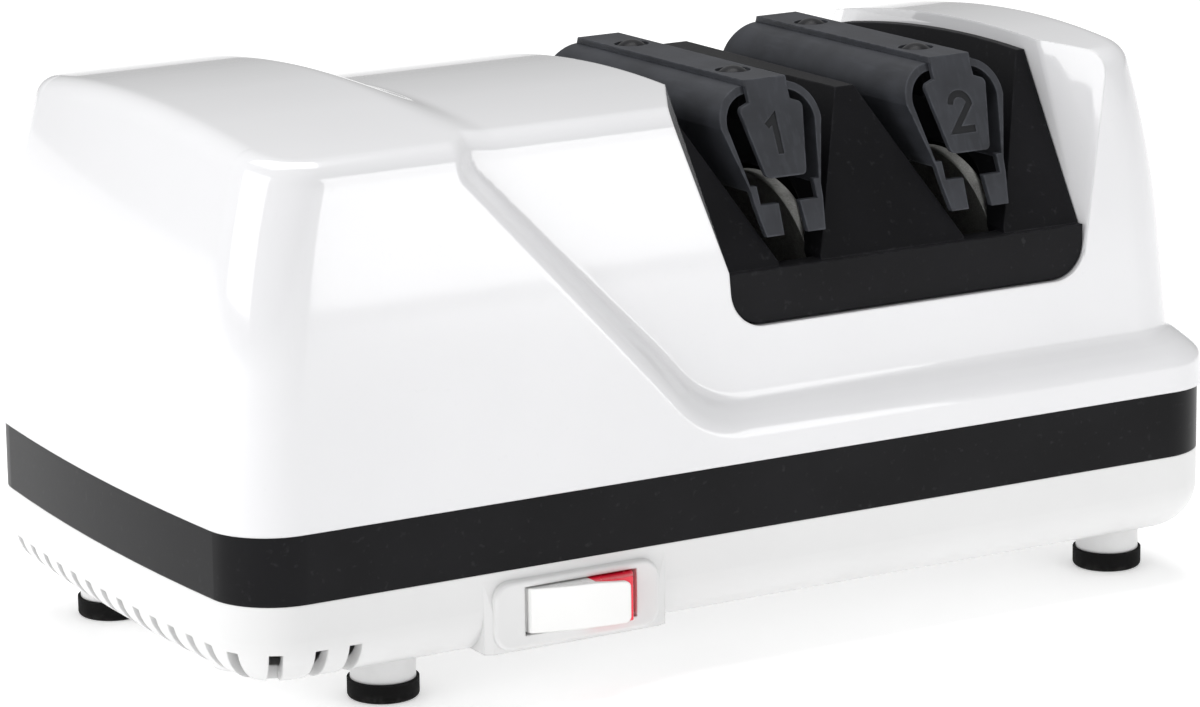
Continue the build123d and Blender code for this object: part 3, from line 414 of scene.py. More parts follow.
def two_shot_rocker():
    """The rocker's core, moulded in two shots: white to the left, glossy red to the right."""
    tone = tuple(finishes().red)
    f = Finish("two_shot_rocker", roughness=0.25, ior=1.5, coat_weight=0.3, coat_roughness=0.1)
    cloud = f.noise(6 * MM, 4.0)
    worn = f.edges(0.4 * MM) * f.noise(2 * MM, 3.0).ramp(0.4, 0.62)
    base = f.blend(cloud.ramp(0.3, 0.7), tint(tone, 0.9), tint(tone, 1.1))
    base = f.blend(worn * 0.4, base, (0.85, 0.12, 0.14))
    second = f.x.ramp(RED_START - RED_BLUR, RED_START + RED_BLUR)
    f.set("Base Color", f.blend(second, tuple(finishes().cap), base))
    f.set("Roughness", 0.22 + cloud * 0.1)
    f.relief(f.noise(0.5 * MM, 2.0), 0.004 * MM, 0.25 * MM)
    return f


def foot_rubber():
    """Dull rubber, dusty at the floor and finely pored."""
    tone = tuple(finishes().rubber)
    f = Finish("foot_rubber", roughness=0.75, specular_ior_level=0.12)
    pores = f.cells(0.5 * MM) * 0.5 + f.noise(0.3 * MM, 4.0) * 0.5
    dust_and_shade = (1 - f.z.ramp(0.0, 2.2 * MM)) * f.noise(1.5 * MM, 5.0).ramp(0.4, 0.7)
    worn = f.edges(0.5 * MM)
    base = f.blend(f.noise(4 * MM, 4.0), tint(tone, 0.7), tint(tone, 1.5))
    base = f.blend(dust_and_shade * 0.2, base, (0.1, 0.097, 0.094))
    f.set("Base Color", f.blend(worn * 0.3, base, tint(tone, 4)))
    f.set("Roughness", 0.62 + pores * 0.2 + dust_and_shade * 0.1)
    f.relief(pores, 0.02 * MM, 0.35 * MM)
    return f


def metal(name, tone, roughness, brushed=(1, 1, 1), size=0.4):
    """Bare metal with tool marks along one axis, faint stains and bright edges."""
    f = Finish(name, roughness=roughness, metallic=1.0)
    marks = f.noise(size * MM, 4.0, place=f.stretched(*brushed))
    stain = f.noise(8 * MM, 5.0).ramp(0.45, 0.75)
    worn = f.edges(0.4 * MM)
    base = f.blend(marks, tint(tone, 0.82), tint(tone, 1.12))
    base = f.blend(stain * 0.35, base, tint(tone, 0.6))
    f.set("Base Color", f.blend(worn * 0.5, base, tint(tone, 1.4)))
    f.set("Roughness", roughness - 0.06 + marks * 0.12 + stain * 0.14)
    f.relief(marks, 0.006 * MM, 0.2 * MM)
    return f


# Thickness of a sheet of the stator, and of a turn of the coil's wire
SHEET = 0.5 * MM
WIRE = 0.7 * MM


def stacked_steel():
    """The stator's stack: dark oxide sheets with bright cut edges."""
    f = Finish("stacked_steel", roughness=0.5, metallic=0.9)
    sheet = f.node("ShaderNodeMath", {"operation": "FRACT"}, {0: f.x / SHEET})
    seam = sheet.ramp(0.0, 0.16) * (1 - sheet.ramp(0.84, 1.0))
    rust = f.noise(5 * MM, 5.0).ramp(0.55, 0.75)
    base = f.blend(seam, (0.05, 0.05, 0.052), (0.26, 0.26, 0.27))
    f.set("Base Color", f.blend(rust * 0.3, base, (0.17, 0.11, 0.07)))
    f.set("Roughness", 0.42 + rust * 0.25)
    f.relief(seam, 0.05 * MM, 0.2 * MM)
    return f


def wound_copper():
    """The coil: layers of enamelled wire that run round its bobbin."""
    tone = tuple(finishes().copper)
    f = Finish("wound_copper", roughness=0.32, metallic=0.85, coat_weight=0.5)
    turn = f.node("ShaderNodeMath", {"operation": "FRACT"}, {0: f.z / WIRE})
    crest = 1 - abs(turn - 0.5) * 2
    wander = f.noise(3 * MM, 3.0)
    # painted shade: darker in the grooves between the turns, full colour on their crests
    base = f.blend(crest.ramp(0.0, 0.6), tint(tone, 0.25), tone)
    f.set("Base Color", f.blend(wander.ramp(0.5, 0.8) * 0.5, base, tint(tone, 0.7)))
    f.set("Roughness", 0.26 + wander * 0.16)
    f.relief(crest.ramp(0.0, 0.9), 0.22 * MM)
    return f


def grit_disc():
    """Diamond grit bonded to the discs: fine sparkling grains on dull nickel."""
    tone = tuple(finishes().grit)
    f = Finish("grit_disc", roughness=0.5, metallic=0.75)
    grains = f.cells(0.16 * MM)
    spark = f.noise(0.12 * MM, 2.0).ramp(0.6, 0.72)
    loaded = f.noise(6 * MM, 5.0).ramp(0.42, 0.7)
    base = f.blend(grains.ramp(0.0, 0.6), tint(tone, 1.3), tint(tone, 0.6))
    base = f.blend(loaded * 0.4, base, (0.09, 0.085, 0.08))
    f.set("Base Color", f.blend(spark, base, (0.8, 0.8, 0.78)))
    f.set("Roughness", 0.5 - spark * 0.25 + loaded * 0.15)
    f.relief(grains, 0.05 * MM, 0.3 * MM)
    return f


# ---------------------------------------------------------------- the upper shell's form


def arc_rise(s, radius, angle):
    """Depth gained at a distance along a rounding that turns through an angle."""
    t = np.clip(s, 0, radius * math.sin(angle))
    return radius - np.sqrt(radius**2 - t**2)


# The step between the motor end and the guide end, in millimetres. In the front view its upper
# edge runs down from STEP_TOP to STEP_LOW and then along the shelf, rounded at both turns.
STEP_TOP = (-59.8, 98.6)
STEP_LOW = (-15.7, 49.2)
STEP_SHELF = 43.7
STEP_TOP_TURN = 1.6
STEP_SHELF_TURN = 6.2
# Across its edge: the angle of the slope, and the roundings at its crest and foot
STEP_SLOPE = math.radians(42)
STEP_CREST = 3.4
STEP_FOOT = 1.6
# How wide it is, which is less near the top
STEP_WIDTH = 6.8
STEP_NARROW = 3.8
STEP_WIDENING = 0.082
# On the crown: where it starts, and over what length the crown drops
STEP_TOP_START = -58.5
STEP_TOP_WIDTH = 10.0
# Where the crown begins to rise to the hump, and over what length
HUMP_START = 20.0
HUMP_RUN = 50.0

# The mesh stands in columns: the three kinds in a quarter of the plan, and the steps of a corner
SIDE, CORNER, END = 0, 1, 2
CORNER_STEPS = 16
# The rim turns inward: how much the ends' ways fan out, and how far the corners' centre is drawn in
END_FAN = 0.05
CORNER_PULL = 1.0
# The search for the rim: first guess below the top, rounds, and the step that measures a slope
RIM_GUESS = 8.0
RIM_ROUNDS = 14
SLOPE_ROUNDS = 3
SLOPE_STEP = 0.3
# The rim's own rounding: its least radius, and its steps
RIM_SMALLEST = 0.5
ROUNDING_STEPS = 8
# How much coarser than the walls the top is
TOP_SPACING = 1.6


def soft_minimum(a, b, reach):
    """The smaller of two distances, rounded where they are alike."""
    h = np.clip(0.5 + 0.5 * (b - a) / reach, 0, 1)
    return b * (1 - h) + a * h - reach * h * (1 - h)


def step_distance(x, z):
    """How far a point of the front view lies past the step's upper edge, in millimetres."""
    along = np.array([STEP_LOW[0] - STEP_TOP[0], STEP_LOW[1] - STEP_TOP[1]])
    along /= np.linalg.norm(along)
    slope = (x - STEP_TOP[0]) * -along[1] + (z - STEP_TOP[1]) * along[0]
    upper = soft_minimum(x - STEP_TOP[0], slope, STEP_TOP_TURN)
    width = np.clip(STEP_NARROW + (STEP_TOP[1] - z) * STEP_WIDENING, STEP_NARROW, STEP_WIDTH)
    return soft_minimum(upper, z - STEP_SHELF, STEP_SHELF_TURN) * STEP_WIDTH / width


def step_profile(s, depth):
    """Depth of the recess at a distance past the step's edge: crest, slope and foot."""
    sine, cosine, tangent = math.sin(STEP_SLOPE), math.cos(STEP_SLOPE), math.tan(STEP_SLOPE)
    crest_run, crest_fall = STEP_CREST * sine, STEP_CREST * (1 - cosine)
    foot_run, foot_fall = STEP_FOOT * sine, STEP_FOOT * (1 - cosine)
    slope_run = (depth - crest_fall - foot_fall) / tangent
    crest = arc_rise(s, STEP_CREST, STEP_SLOPE)
    slope = np.clip(s - crest_run, 0, slope_run) * tangent
    left = crest_run + slope_run + foot_run - s
    foot = foot_fall - arc_rise(left, STEP_FOOT, STEP_SLOPE)
    return crest + slope + np.where(s > crest_run + slope_run, foot, 0)


def gentle(t):
    """A smooth rise from 0 to 1."""
    t = np.clip(t, 0, 1)
    return t * t * (3 - 2 * t)


class ShellForm:
    """The upper shell's outer form, or with an inset its hollow, in millimetres."""

    def __init__(self, sizes, inset):
        self.inset = inset
        for name in sizes.__annotations__:
            setattr(self, name, getattr(sizes, name) / (1 if name == "lean" else MM))

    def top_height(self, x, y):
        """Height of the top over a point of the plan."""
        recess = gentle((x - STEP_TOP_START - self.inset) / STEP_TOP_WIDTH)
        hump = gentle((x - HUMP_START) / HUMP_RUN)
        crown = self.top - self.recess_drop * recess + self.hump_rise * hump
        off_crest = y + self.recess_shift * recess
        roll = self.crown_radius - np.sqrt(self.crown_radius**2 - off_crest**2)
        return crown - roll - self.inset

    def wall_inset(self, x, z):
        """How far the wall lies inside the band's outline: for the ends, and for the sides."""
        lean = (z - self.foot) * math.tan(self.lean) + self.inset - self.overhang
        curve = np.clip(z - self.curve_start, 0, None) ** 2 / (2 * self.curve_radius)
        recess = step_profile(step_distance(x, z) - self.inset, self.recess_depth)
        return lean + curve + recess, lean + recess

    def outline(self, inset_x, inset_y, columns):
        """The plan's point of each column, for insets that may differ between columns."""
        kind, share_of = columns
        half_x = self.half_length - inset_x
        half_y = self.half_depth - inset_y
        bow_radius = (half_y**2 + self.end_bow**2) / (2 * self.end_bow)
        bow_x = half_x - bow_radius
        corner_y = half_y - self.corner_radius
        corner_x = bow_x + np.sqrt((bow_radius - self.corner_radius) ** 2 - corner_y**2)
        meet = np.arctan2(corner_y, corner_x - bow_x)
        turn = math.pi / 2 - share_of * (math.pi / 2 - meet)
        swing = meet * share_of
        x = np.select(
            [kind == SIDE, kind == CORNER, kind == END],
            [
                share_of * corner_x,
                corner_x + self.corner_radius * np.cos(turn),
                bow_x + bow_radius * np.cos(swing),
            ],
        )
        y = np.select(
            [kind == SIDE, kind == CORNER, kind == END],
            [half_y, corner_y + self.corner_radius * np.sin(turn), bow_radius * np.sin(swing)],
        )
        return x, y

    def columns(self, cell):
        """Kinds, shares and signs of the columns of a quarter turn, laid round the whole plan."""
        along, across = int(self.half_length / cell), int(self.half_depth / cell)
        side = np.arange(1, along) / along
        corner = np.arange(0, CORNER_STEPS + 1) / CORNER_STEPS
        end = np.arange(across - 1, 0, -1) / across
        lengths = (len(side), len(corner), len(end))
        kind = np.repeat([float(SIDE), float(CORNER), float(END)], lengths)
        share_of = np.concatenate([side, corner, end])
        outward, homeward = (kind, share_of), (kind[::-1], share_of[::-1])
        middle = np.array([float(SIDE)]), np.array([0.0])
        tip = np.array([float(END)]), np.array([0.0])
        order = [
            (*middle, 1, 1),
            (*outward, 1, 1),
            (*tip, 1, 1),
            (*homeward, 1, -1),
            (*middle, 1, -1),
            (*outward, -1, -1),
            (*tip, -1, 1),
            (*homeward, -1, 1),
        ]
        kinds = np.concatenate([o[0] for o in order])
        shares = np.concatenate([o[1] for o in order])
        sign_x = np.concatenate([np.full(len(o[0]), o[2]) for o in order])
        sign_y = np.concatenate([np.full(len(o[0]), o[3]) for o in order])
        return (kinds, shares), sign_x, sign_y

    def wall_point(self, columns, z):
        """The wall's point of each column at the heights z."""
        kinds, sign_x, sign_y = columns
        x = sign_x * self.half_length * np.where(kinds[0] == SIDE, kinds[1], 1.0)
        for _ in range(3):
            inset_x, inset_y = self.wall_inset(x, z)
            plan_x, plan_y = self.outline(inset_x, inset_y, kinds)
            x = sign_x * plan_x
        return np.stack([x, sign_y * plan_y, z * np.ones_like(x)], axis=-1)

    def wall_angle(self, z, inward):
        """How far the wall leans from upright at the heights z, for those inward ways."""
        slope = math.tan(self.lean)
        curl = np.clip(z - self.curve_start, 0, None) / self.curve_radius
        return np.arctan(slope + np.abs(inward[:, 0]) * curl)

    def inward_ways(self, columns, foot):
        """The way in plan in which the rim of each column turns inward, of length 1."""
        (kind, _), sign_x, sign_y = columns
        centre = np.stack([
            sign_x * (self.half_length - self.corner_radius - CORNER_PULL),
            sign_y * (self.half_depth - self.corner_radius),
        ], axis=-1)
        inward = -foot[:, :2] * np.array([1.0, END_FAN])
        corners = kind == CORNER
        inward[corners] = (centre - foot[:, :2])[corners]
        sides = kind == SIDE
        inward[sides] = np.stack([np.zeros(len(foot)), -sign_y], axis=-1)[sides]
        return inward / np.linalg.norm(inward, axis=1)[:, None]

    def top_angle(self, tangent, inward):
        """How steeply the top rises inward over those points of the plan."""
        ahead = tangent + inward * SLOPE_STEP
        rise = self.top_height(ahead[:, 0], ahead[:, 1]) - self.top_height(
            tangent[:, 0], tangent[:, 1]
        )
        return np.arctan(rise / SLOPE_STEP)

    def find_rim(self, columns, inward, radius):
        """Heights where the walls end and the rim starts, and the top's angles past the rim."""
        height = np.full(len(inward), self.top - RIM_GUESS)
        for _ in range(RIM_ROUNDS):
            wall = self.wall_point(columns, height)
            phi = self.wall_angle(height, inward)
            reach = wall[:, :2] + inward * (radius * np.cos(phi))[:, None]
            psi = np.zeros(len(inward))
            for _ in range(SLOPE_ROUNDS):
                tangent = reach - inward * (radius * np.sin(psi))[:, None]
                psi = self.top_angle(tangent, inward)
            crest = self.top_height(tangent[:, 0], tangent[:, 1])
            centre_z = crest - radius * np.cos(psi)
            height = 0.5 * height + 0.5 * (centre_z + radius * np.sin(phi))
        return height, psi

    def rings(self, cell):
        """Rings of points from the foot up the walls and over the rounded rim."""
        columns = self.columns(cell)
        radius = max(self.rim_radius - self.inset, RIM_SMALLEST)
        foot = self.wall_point(columns, np.full(len(columns[1]), self.foot))
        inward = self.inward_ways(columns, foot)
        height, psi = self.find_rim(columns, inward, radius)
        rows = int((self.top - self.foot) / cell)
        rings = []
        for row in range(rows):
            rings.append(self.wall_point(columns, self.foot + (height - self.foot) * row / rows))
        wall = self.wall_point(columns, height)
        phi = self.wall_angle(height, inward)
        centre_xy = wall[:, :2] + inward * (radius * np.cos(phi))[:, None]
        centre_z = height - radius * np.sin(phi)
        for turn in range(ROUNDING_STEPS + 1):
            angle = phi + (math.pi / 2 - psi - phi) * turn / ROUNDING_STEPS
            xy = centre_xy - inward * (radius * np.cos(angle))[:, None]
            z = centre_z + radius * np.sin(angle)
            rings.append(np.concatenate([xy, z[:, None]], axis=1))
        return rings

    def top_faces(self, rim, spacing):
        """Points of the crowned top inside its rim, and faces that count the rim's points first."""
        across = np.arange(-self.half_length, self.half_length, spacing)
        back = np.arange(-self.half_depth, self.half_depth, spacing)
        grid = np.stack(np.meshgrid(across, back, indexing="ij"), axis=-1).reshape(-1, 2)
        grid = grid[inside(grid, rim, spacing * 0.5)]
        flat = [Vector(p) for p in np.concatenate([rim, grid])]
        ring_edges = [(i, (i + 1) % len(rim)) for i in range(len(rim))]
        made = delaunay_2d_cdt(flat, ring_edges, [], 1, 1e-4)
        if len(made[0]) != len(flat):
            raise RuntimeError("the shell's top has doubled points: change its cell size")
        lift = self.top_height(grid[:, 0], grid[:, 1])
        return np.concatenate([grid, lift[:, None]], axis=1), made[2]

    def mesh(self, name, cell, sink=0.0):
        """A closed mesh of the form: flat foot, walls, rounded rim and crowned top."""
        rings = self.rings(cell)
        if sink:
            floor = rings[0].copy()
            floor[:, 2] -= sink
            rings.insert(0, floor)
        count = len(rings[0])
        step = np.arange(count)
        walls = []
        for row in range(len(rings) - 1):
            low = row * count + step
            right = row * count + (step + 1) % count
            walls.append(np.stack([low, low + count, right + count, right], axis=1))
        crown, faces = self.top_faces(rings[-1][:, :2], cell * TOP_SPACING)
        rim_start = (len(rings) - 1) * count
        top = [[rim_start + i for i in face] for face in faces]
        bottom = [list(step)]
        points = np.concatenate([*rings, crown])
        data = bpy.data.meshes.new(name)
        quads = np.concatenate(walls).tolist()
        data.from_pydata((points * MM).tolist(), [], quads + top + bottom)
        data.update()
        fix_winding(data)
        return data


def inside(points, ring, margin):
    """Which points lie inside a ring and at least a margin from its points."""
    x, y = points[:, 0], points[:, 1]
    hit = np.zeros(len(points), bool)
    ahead = np.roll(ring, -1, axis=0)
    for (ax, ay), (bx, by) in zip(ring, ahead):
        cross = (ay > y) != (by > y)
        if cross.any():
            at = ax + (y - ay) * (bx - ax) / (by - ay if by != ay else 1e-9)
            hit ^= cross & (x < at)
    near = np.zeros(len(points), bool)
    for px, py in ring:
        near |= (x - px) ** 2 + (y - py) ** 2 < margin**2
    return hit & ~near


def fix_winding(data):
    """Turns every face of a closed mesh outward."""
    work = bmesh.new()
    work.from_mesh(data)
    bmesh.ops.recalc_face_normals(work, faces=work.faces)
    work.to_mesh(data)
    work.free()


# ---------------------------------------------------------------- cutters of the pocket

# The opening in the front view, in millimetres
POCKET_LEFT_TOP = -3.6
POCKET_LEFT_LOW = -1.6
POCKET_RIGHT = 77.2
POCKET_FLOOR = 62.7
POCKET_RADIUS = 7.0
POCKET_TOP = 109.0
POCKET_ABOVE = 119.0
POCKET_FLARE = 4.0
# The thick walls beside the guides
CHEEK_LEFT = -26.0
CHEEK_RIGHT = 85.0
CHEEK_START = 28.0
CHEEK_FLOOR = 66.3
# The facets beside the opening: each is a plane through a low, an inner and an outer point. Its cut
# reaches so far sideways and below the low point, laps over the opening's edge, and has a rear end.
FACET_REACH = 24.0
FACET_FADE = 10.0
FACET_LAP = 0.2
FACET_REAR = -18.0
LEFT_FACET = ((-1.7, -54.0, 67.0), (-3.4, -30.5, 104.5), (-16.6, -52.0, 106.8))
RIGHT_FACET = ((77.2, -50.6, 67.5), (77.2, -34.5, 104.0), (83.2, -47.0, 104.0))
# The hollow is coarser than the outside and goes below the shell's foot
HOLLOW_CELL = 2.4
HOLLOW_SINK = 4.0
# Faces that meet at more than this angle keep a sharp edge
SHARP_ANGLE = math.radians(28)
# Past the object in any direction
FAR = 150.0


def solid(name, data):
    """A new object in the scene, with that data."""
    made = bpy.data.objects.new(name, data)
    bpy.context.scene.collection.objects.link(made)
    return made


def box_mesh(name, low, high):
    """A closed box between two corners, in millimetres."""
    work = bmesh.new()
    bmesh.ops.create_cube(work, size=1.0)
    centre = [(a + b) / 2 for a, b in zip(low, high)]
    for vertex in work.verts:
        vertex.co = Vector([
            (c + v * (b - a)) * MM for c, v, a, b in zip(centre, vertex.co, low, high)
        ])
    data = bpy.data.meshes.new(name)
    work.to_mesh(data)
    work.free()
    return data


def prism_mesh(name, outline, front, rear):
    """A closed prism along the depth, from an outline drawn in the front view."""
    count = len(outline)
    points = [(x * MM, front * MM, z * MM) for x, z in outline]
    points += [(x * MM, rear * MM, z * MM) for x, z in outline]
    faces = [list(range(count)), list(range(count, 2 * count))]
    for i in range(count):
        j = (i + 1) % count
        faces.append([i, j, j + count, i + count])
    data = bpy.data.meshes.new(name)
    data.from_pydata(points, [], faces)
    fix_winding(data)
    return data


def rounded_corner(before, corner, after, radius, steps=14):
    """Points of the arc that rounds a corner of an outline."""
    corner = Vector(corner)
    a = (Vector(before) - corner).normalized()
    b = (Vector(after) - corner).normalized()
    half = a.angle(b) / 2
    start = corner + a * (radius / math.tan(half))
    centre = corner + (a + b).normalized() * (radius / math.sin(half))
    spoke = start - centre
    total = math.pi - 2 * half
    if a.x * b.y - a.y * b.x > 0:
        total = -total
    points = []
    for step in range(steps + 1):
        turn = Matrix.Rotation(total * step / steps, 2)
        points.append(tuple(centre + turn @ spoke))
    return points


def pocket_outline(inset):
    """The opening for the guides in the front view, drawn in by inset."""
    left_top = (POCKET_LEFT_TOP + inset, POCKET_TOP)
    left_low = (POCKET_LEFT_LOW + inset, POCKET_FLOOR + inset)
    right_low = (POCKET_RIGHT - inset, POCKET_FLOOR + inset)
    right_top = (POCKET_RIGHT - inset, POCKET_ABOVE)
    radius = POCKET_RADIUS - inset
    points = [right_top, (left_top[0] - POCKET_FLARE, POCKET_ABOVE), left_top]
    points += rounded_corner(left_top, left_low, right_low, radius)
    points += rounded_corner(left_low, right_low, right_top, radius)
    return points


def facet_mesh(name, low, inner, outer, side):
    """What is cut off a side of the pocket, in front of the plane through three points.

    The side is 1 for the front of the shell, and -1 for its mirror image at the rear."""
    low, inner, outer = Vector(low), Vector(inner), Vector(outer)
    normal = (outer - low).cross(inner - low).normalized()
    if normal.y > 0:
        normal = -normal
    if outer.x < low.x:
        left, right = low.x - FACET_REACH, max(low.x, inner.x) + FACET_LAP
    else:
        left, right = min(low.x, inner.x) - FACET_LAP, low.x + FACET_REACH
    data = box_mesh(name, (left, -FAR, low.z - FACET_FADE), (right, FACET_REAR, FAR))
    work = bmesh.new()
    work.from_mesh(data)
    geometry = work.verts[:] + work.edges[:] + work.faces[:]
    cut = bmesh.ops.bisect_plane(
        work, geom=geometry, plane_co=low * MM, plane_no=normal, clear_inner=True
    )
    rim = [g for g in cut["geom_cut"] if isinstance(g, bmesh.types.BMEdge)]
    bmesh.ops.edgeloop_fill(work, edges=rim)
    if side < 0:
        bmesh.ops.scale(work, verts=work.verts, vec=(1, -1, 1))
    bmesh.ops.recalc_face_normals(work, faces=work.faces)
    work.to_mesh(data)
    work.free()
    return data


def carve(target, tools, operation="DIFFERENCE"):
    """Cuts the tools out of the target, or joins them to it, and leaves a plain mesh."""
    for tool in tools:
        modifier = target.modifiers.new("carve", "BOOLEAN")
        modifier.operation = operation
        modifier.solver = "MANIFOLD"
        modifier.object = tool
        graph = bpy.context.evaluated_depsgraph_get()
        done = bpy.data.meshes.new_from_object(target.evaluated_get(graph))
        target.modifiers.clear()
        old = target.data
        target.data = done
        bpy.data.meshes.remove(old)
    for tool in tools:
        bpy.data.objects.remove(tool)
    if not target.data.polygons:
        raise RuntimeError(f"{target.name} was cut away whole")


def hollow_with_cheeks(sizes):
    """The shell's hollow, less the walls that stand beside the guides."""
    wall = sizes.wall / MM
    hollow = solid("hollow", ShellForm(sizes, wall).mesh("hollow", HOLLOW_CELL, HOLLOW_SINK))
    cheek = solid("cheek", prism_mesh("cheek", pocket_outline(-wall), -FAR, FAR))
    low = solid("cheek_low", box_mesh("cheek_low", (-FAR, -FAR, 0), (FAR, FAR, CHEEK_FLOOR)))
    carve(cheek, [low])
    corners = []
    for left, right in ((CHEEK_LEFT, POCKET_LEFT_LOW), (POCKET_RIGHT, CHEEK_RIGHT)):
        for front, rear in ((-FAR, -CHEEK_START), (CHEEK_START, FAR)):
            data = box_mesh("corner", (left, front, CHEEK_FLOOR), (right, rear, FAR))
            corners.append(solid("corner", data))
    carve(hollow, [cheek, *corners])
    return hollow


class SHARPENER_OT_shell(bpy.types.Operator):
    """Makes the glossy upper shell with its soft step and the pocket for the guides"""

    bl_idname = "sharpener.make_shell"
    bl_label = "Upper shell"

    def execute(self, context):
        sizes = context.scene.sharpener_shell
        form = ShellForm(sizes, 0.0)
        shell = solid("upper_shell", form.mesh("upper_shell", sizes.cell / MM))
        cutters = [
            hollow_with_cheeks(sizes),
            solid("pocket", prism_mesh("pocket", pocket_outline(0.0), -FAR, FAR)),
        ]
        for number, points in enumerate((LEFT_FACET, RIGHT_FACET)):
            for side in (1, -1):
                name = f"facet_{number}"
                cutters.append(solid(name, facet_mesh(name, *points, side)))
        carve(shell, cutters)
        shell.data.shade_smooth()
        shell.data.set_sharp_from_angle(angle=SHARP_ANGLE)
        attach(shell, "housing")
        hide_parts("top_housing")
        dress(gloss_white(), "upper_shell")
        return {"FINISHED"}


# ---------------------------------------------------------------- finishing the CAD's pieces

SCREW_TONE = (0.02, 0.02, 0.022)
MAGNET_TONE = (0.3, 0.3, 0.31)


class SHARPENER_OT_housing(bpy.types.Operator):
    """Finishes the base, the band, the feet and what is fixed to them"""

    bl_idname = "sharpener.finish_housing"
    bl_label = "Base, band and feet"

    def execute(self, context):
        tones = finishes()
        dress(satin_white("base_white", tuple(tones.base)), "base_housing", "cleanout_cover")
        dress(satin_white("cap_white", tuple(tones.cap)), "rocker_cap")
        dress(
            satin_black("band_plastic", tuple(tones.band), 0.22 * MM, 0.004 * MM, 0.3, 0.5 * MM),
            "trim_band",
        )
        feet = (f"foot_{end}_{side}" for end in ("front", "rear") for side in ("left", "right"))
        dress(foot_rubber(), *feet)
        dress(
            satin_black("inner_plastic", tuple(tones.inner), 0.4 * MM, 0.012 * MM, 0.45, 0.4 * MM),
            "cord_gland",
            "switch_body",
            "cooling_fan",
        )
        dress(two_shot_rocker(), "rocker")
        return {"FINISHED"}


class SHARPENER_OT_guides(bpy.types.Operator):
    """Finishes the guide block, the horseshoe springs and their numbered strips"""

    bl_idname = "sharpener.finish_guides"
    bl_label = "Guides and springs"

    def execute(self, context):
        tones = finishes()
        dress(
            satin_black("guide_plastic", tuple(tones.guide), 0.3 * MM, 0.02 * MM, 0.46, 0.6 * MM),
            "guide_block",
        )
        dress(spring_plastic("spring_plastic"), "guide_spring_1", "guide_spring_2")
        dress(spring_plastic("strip_plastic", digits=True), "guide_bar_1", "guide_bar_2")
        dress(
            satin_black("screw_plastic", SCREW_TONE, 0.5 * MM, 0.004 * MM, 0.3, 0.3 * MM),
            "guide_screws",
        )
        return {"FINISHED"}


def giving_coil(stage, side):
    """A disc's coil spring: a copy of the CAD's coil that rides the rotor in its place."""
    node = f"disc_spring_{stage}_{side}"
    coil = solid(f"coil_{stage}_{side}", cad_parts[node].data.copy())
    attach(coil, "rotor")
    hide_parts(node)
    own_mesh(coil)
    return coil.name


class SHARPENER_OT_motor(bpy.types.Operator):
    """Finishes the motor, its shaft and the sharpening discs"""

    bl_idname = "sharpener.finish_motor"
    bl_label = "Motor and discs"

    def execute(self, context):
        tones = finishes()
        steel = tuple(tones.steel)
        dress(metal("turned_steel", steel, 0.28, (0.2, 1, 1)), "motor_shaft", "shaft_collars")
        plated = metal("plated_steel", steel, 0.38)
        dress(plated, "motor_brackets", "motor_screws", "housing_screws")
        dress(metal("folded_steel", tint(steel, 0.8), 0.42, (1, 1, 0.1)), "shaft_support")
        for stage in (1, 2):
            for side in ("left", "right"):
                wire = metal(f"spring_wire_{stage}_{side}", steel, 0.3, size=0.2)
                dress(wire, giving_coil(stage, side))
                dress(grit_disc(), f"disc_{stage}_{side}")
        dress(stacked_steel(), "motor_stator")
        dress(wound_copper(), "motor_coil")
        dress(metal("cast_alloy", tuple(tones.alloy), 0.45, size=0.8), "rotor_core")
        dress(metal("bush_bronze", tuple(tones.bronze), 0.4, size=0.3), "shaft_bearings")
        dress(metal("magnet_nickel", MAGNET_TONE, 0.35), "swarf_magnet")
        return {"FINISHED"}


# ---------------------------------------------------------------- stage

# The camera's place in metres, and the ways of the picture's right and up
CAMERA_PLACE = (-0.50211, -0.88193, 0.29997)
CAMERA_RIGHT = (0.86784844, -0.49666032, -0.0129463)
CAMERA_UP = (0.13088291, 0.20340793, 0.97030659)
CAMERA_SENSOR = 36.0
CAMERA_CLIP = 0.01
# The floor's own light, which keeps it pale under the soft lights
FLOOR_GLOW = 0.36
# Each light: its place, what it faces, its width and height in metres, and its power in watts
SOFTBOXES = {
    "front_box": ((0.31, -0.6525, 0.235), (0.31, 0.0, 0.235), 0.22, 0.46, 0.95),
    "left_box": ((-1.3, -0.1, 0.55), (0.0, 0.0, 0.06), 1.1, 0.9, 8.2),
    "top_box": ((0.0, 0.25, 1.5), (0.0, 0.0, 0.06), 1.2, 0.9, 15.0),
}


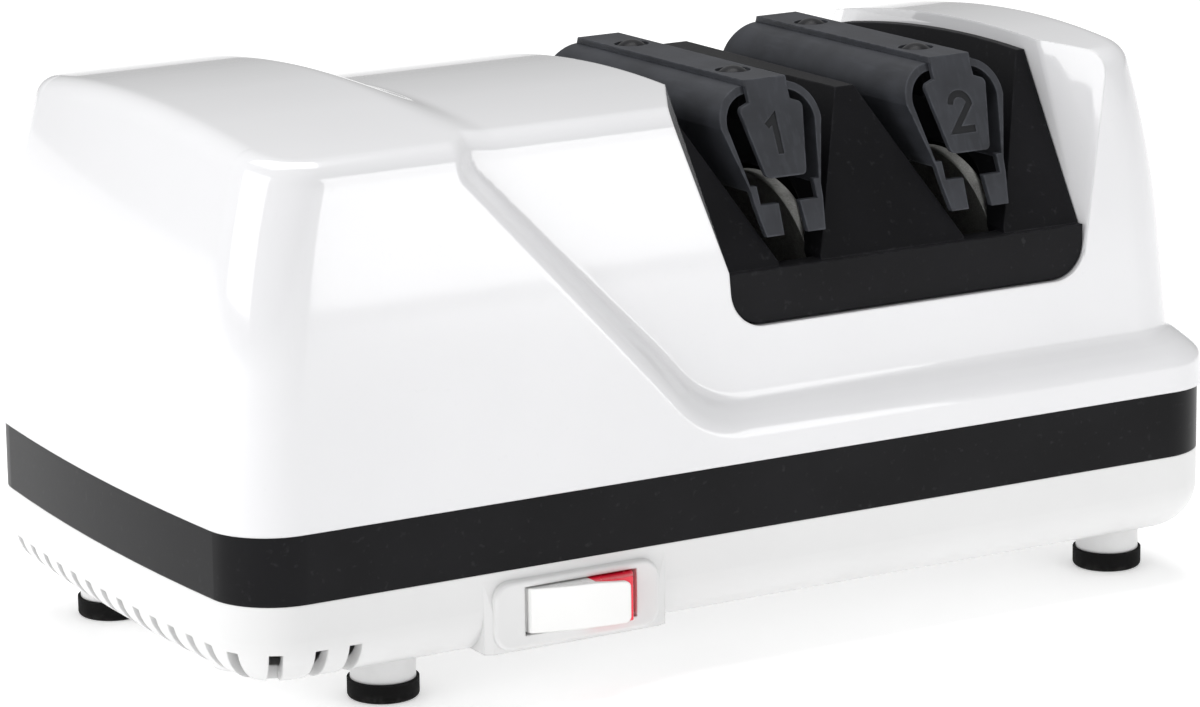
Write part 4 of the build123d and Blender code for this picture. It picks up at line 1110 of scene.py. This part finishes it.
class SHARPENER_OT_stage(bpy.types.Operator):
    """Sets the pale floor, the soft light and the camera"""

    bl_idname = "sharpener.set_stage"
    bl_label = "Stage"

    def execute(self, context):
        sizes = context.scene.sharpener_stage
        self.lay_floor(sizes)
        self.hang_sky(context.scene, sizes)
        for name, (place, aim, width, height, power) in SOFTBOXES.items():
            self.hang_box(name, place, aim, width, height, power)
        self.set_camera(context.scene, sizes)
        context.scene.view_settings.view_transform = "Standard"
        return {"FINISHED"}

    def lay_floor(self, sizes):
        data = bpy.data.meshes.new("floor")
        half = sizes.floor_size / 2
        corners = [(-half, -half, 0), (half, -half, 0), (half, half, 0), (-half, half, 0)]
        data.from_pydata(corners, [], [(0, 1, 2, 3)])
        floor = solid("floor", data)
        tone = tuple(sizes.floor)
        paper = Finish(
            "floor_paper",
            roughness=0.6,
            emission_strength=FLOOR_GLOW,
            emission_color=(1, 1, 1, 1),
        )
        paper.set("Base Color", paper.blend(paper.noise(0.4, 3.0), tint(tone, 0.99), tone))
        paper.relief(paper.noise(1.5 * MM, 2.0), 0.01 * MM)
        data.materials.append(paper.material)

    def hang_sky(self, scene, sizes):
        world = bpy.data.worlds.new("soft_sky")
        world.use_nodes = True
        background = world.node_tree.nodes["Background"]
        background.inputs["Color"].default_value = (1.0, 1.0, 1.0, 1.0)
        background.inputs["Strength"].default_value = sizes.sky
        scene.world = world

    def hang_box(self, name, place, aim, width, height, power):
        light = bpy.data.lights.new(name, "AREA")
        light.shape = "RECTANGLE"
        light.size = width
        light.size_y = height
        light.energy = power
        lamp = solid(name, light)
        lamp.location = place
        lamp.rotation_euler = (Vector(aim) - Vector(place)).to_track_quat("-Z", "Y").to_euler()

    def set_camera(self, scene, sizes):
        data = bpy.data.cameras.new("view")
        data.sensor_width = CAMERA_SENSOR
        data.lens = sizes.lens
        data.clip_start = CAMERA_CLIP
        camera = solid("view", data)
        right, up = Vector(CAMERA_RIGHT), Vector(CAMERA_UP)
        turn = Matrix((right, up, right.cross(up))).transposed().to_4x4()
        camera.matrix_world = Matrix.Translation(CAMERA_PLACE) @ turn
        scene.camera = camera


class SHARPENER_PT_panel(bpy.types.Panel):
    """Lists the pieces of the sharpener"""

    bl_idname = "SHARPENER_PT_panel"
    bl_label = "Knife sharpener"
    bl_space_type = "VIEW_3D"
    bl_region_type = "UI"
    bl_category = "Sharpener"

    def draw(self, context):
        for operator in OPERATORS:
            self.layout.operator(operator.bl_idname)
        for name in GROUPS:
            group = getattr(context.scene, name)
            box = self.layout.box()
            for size in group.__annotations__:
                box.prop(group, size)


OPERATORS = (
    SHARPENER_OT_shell,
    SHARPENER_OT_housing,
    SHARPENER_OT_guides,
    SHARPENER_OT_motor,
    SHARPENER_OT_stage,
)
GROUPS = {
    "sharpener_shell": ShellSizes,
    "sharpener_finishes": Finishes,
    "sharpener_stage": StageSizes,
}


def register():
    for part in (*GROUPS.values(), *OPERATORS, SHARPENER_PT_panel):
        bpy.utils.register_class(part)
    for name, group in GROUPS.items():
        setattr(bpy.types.Scene, name, bpy.props.PointerProperty(type=group))


def unregister():
    for name in GROUPS:
        delattr(bpy.types.Scene, name)
    for part in reversed((*GROUPS.values(), *OPERATORS, SHARPENER_PT_panel)):
        bpy.utils.unregister_class(part)


def corners(box):
    """A box's two corners as plain lists."""
    return [list(corner) for corner in box]


def main():
    register()
    bpy.ops.sharpener.make_shell()
    bpy.ops.sharpener.finish_housing()
    bpy.ops.sharpener.finish_guides()
    bpy.ops.sharpener.finish_motor()
    bpy.ops.sharpener.set_stage()


if __name__ == "__main__":
    main()
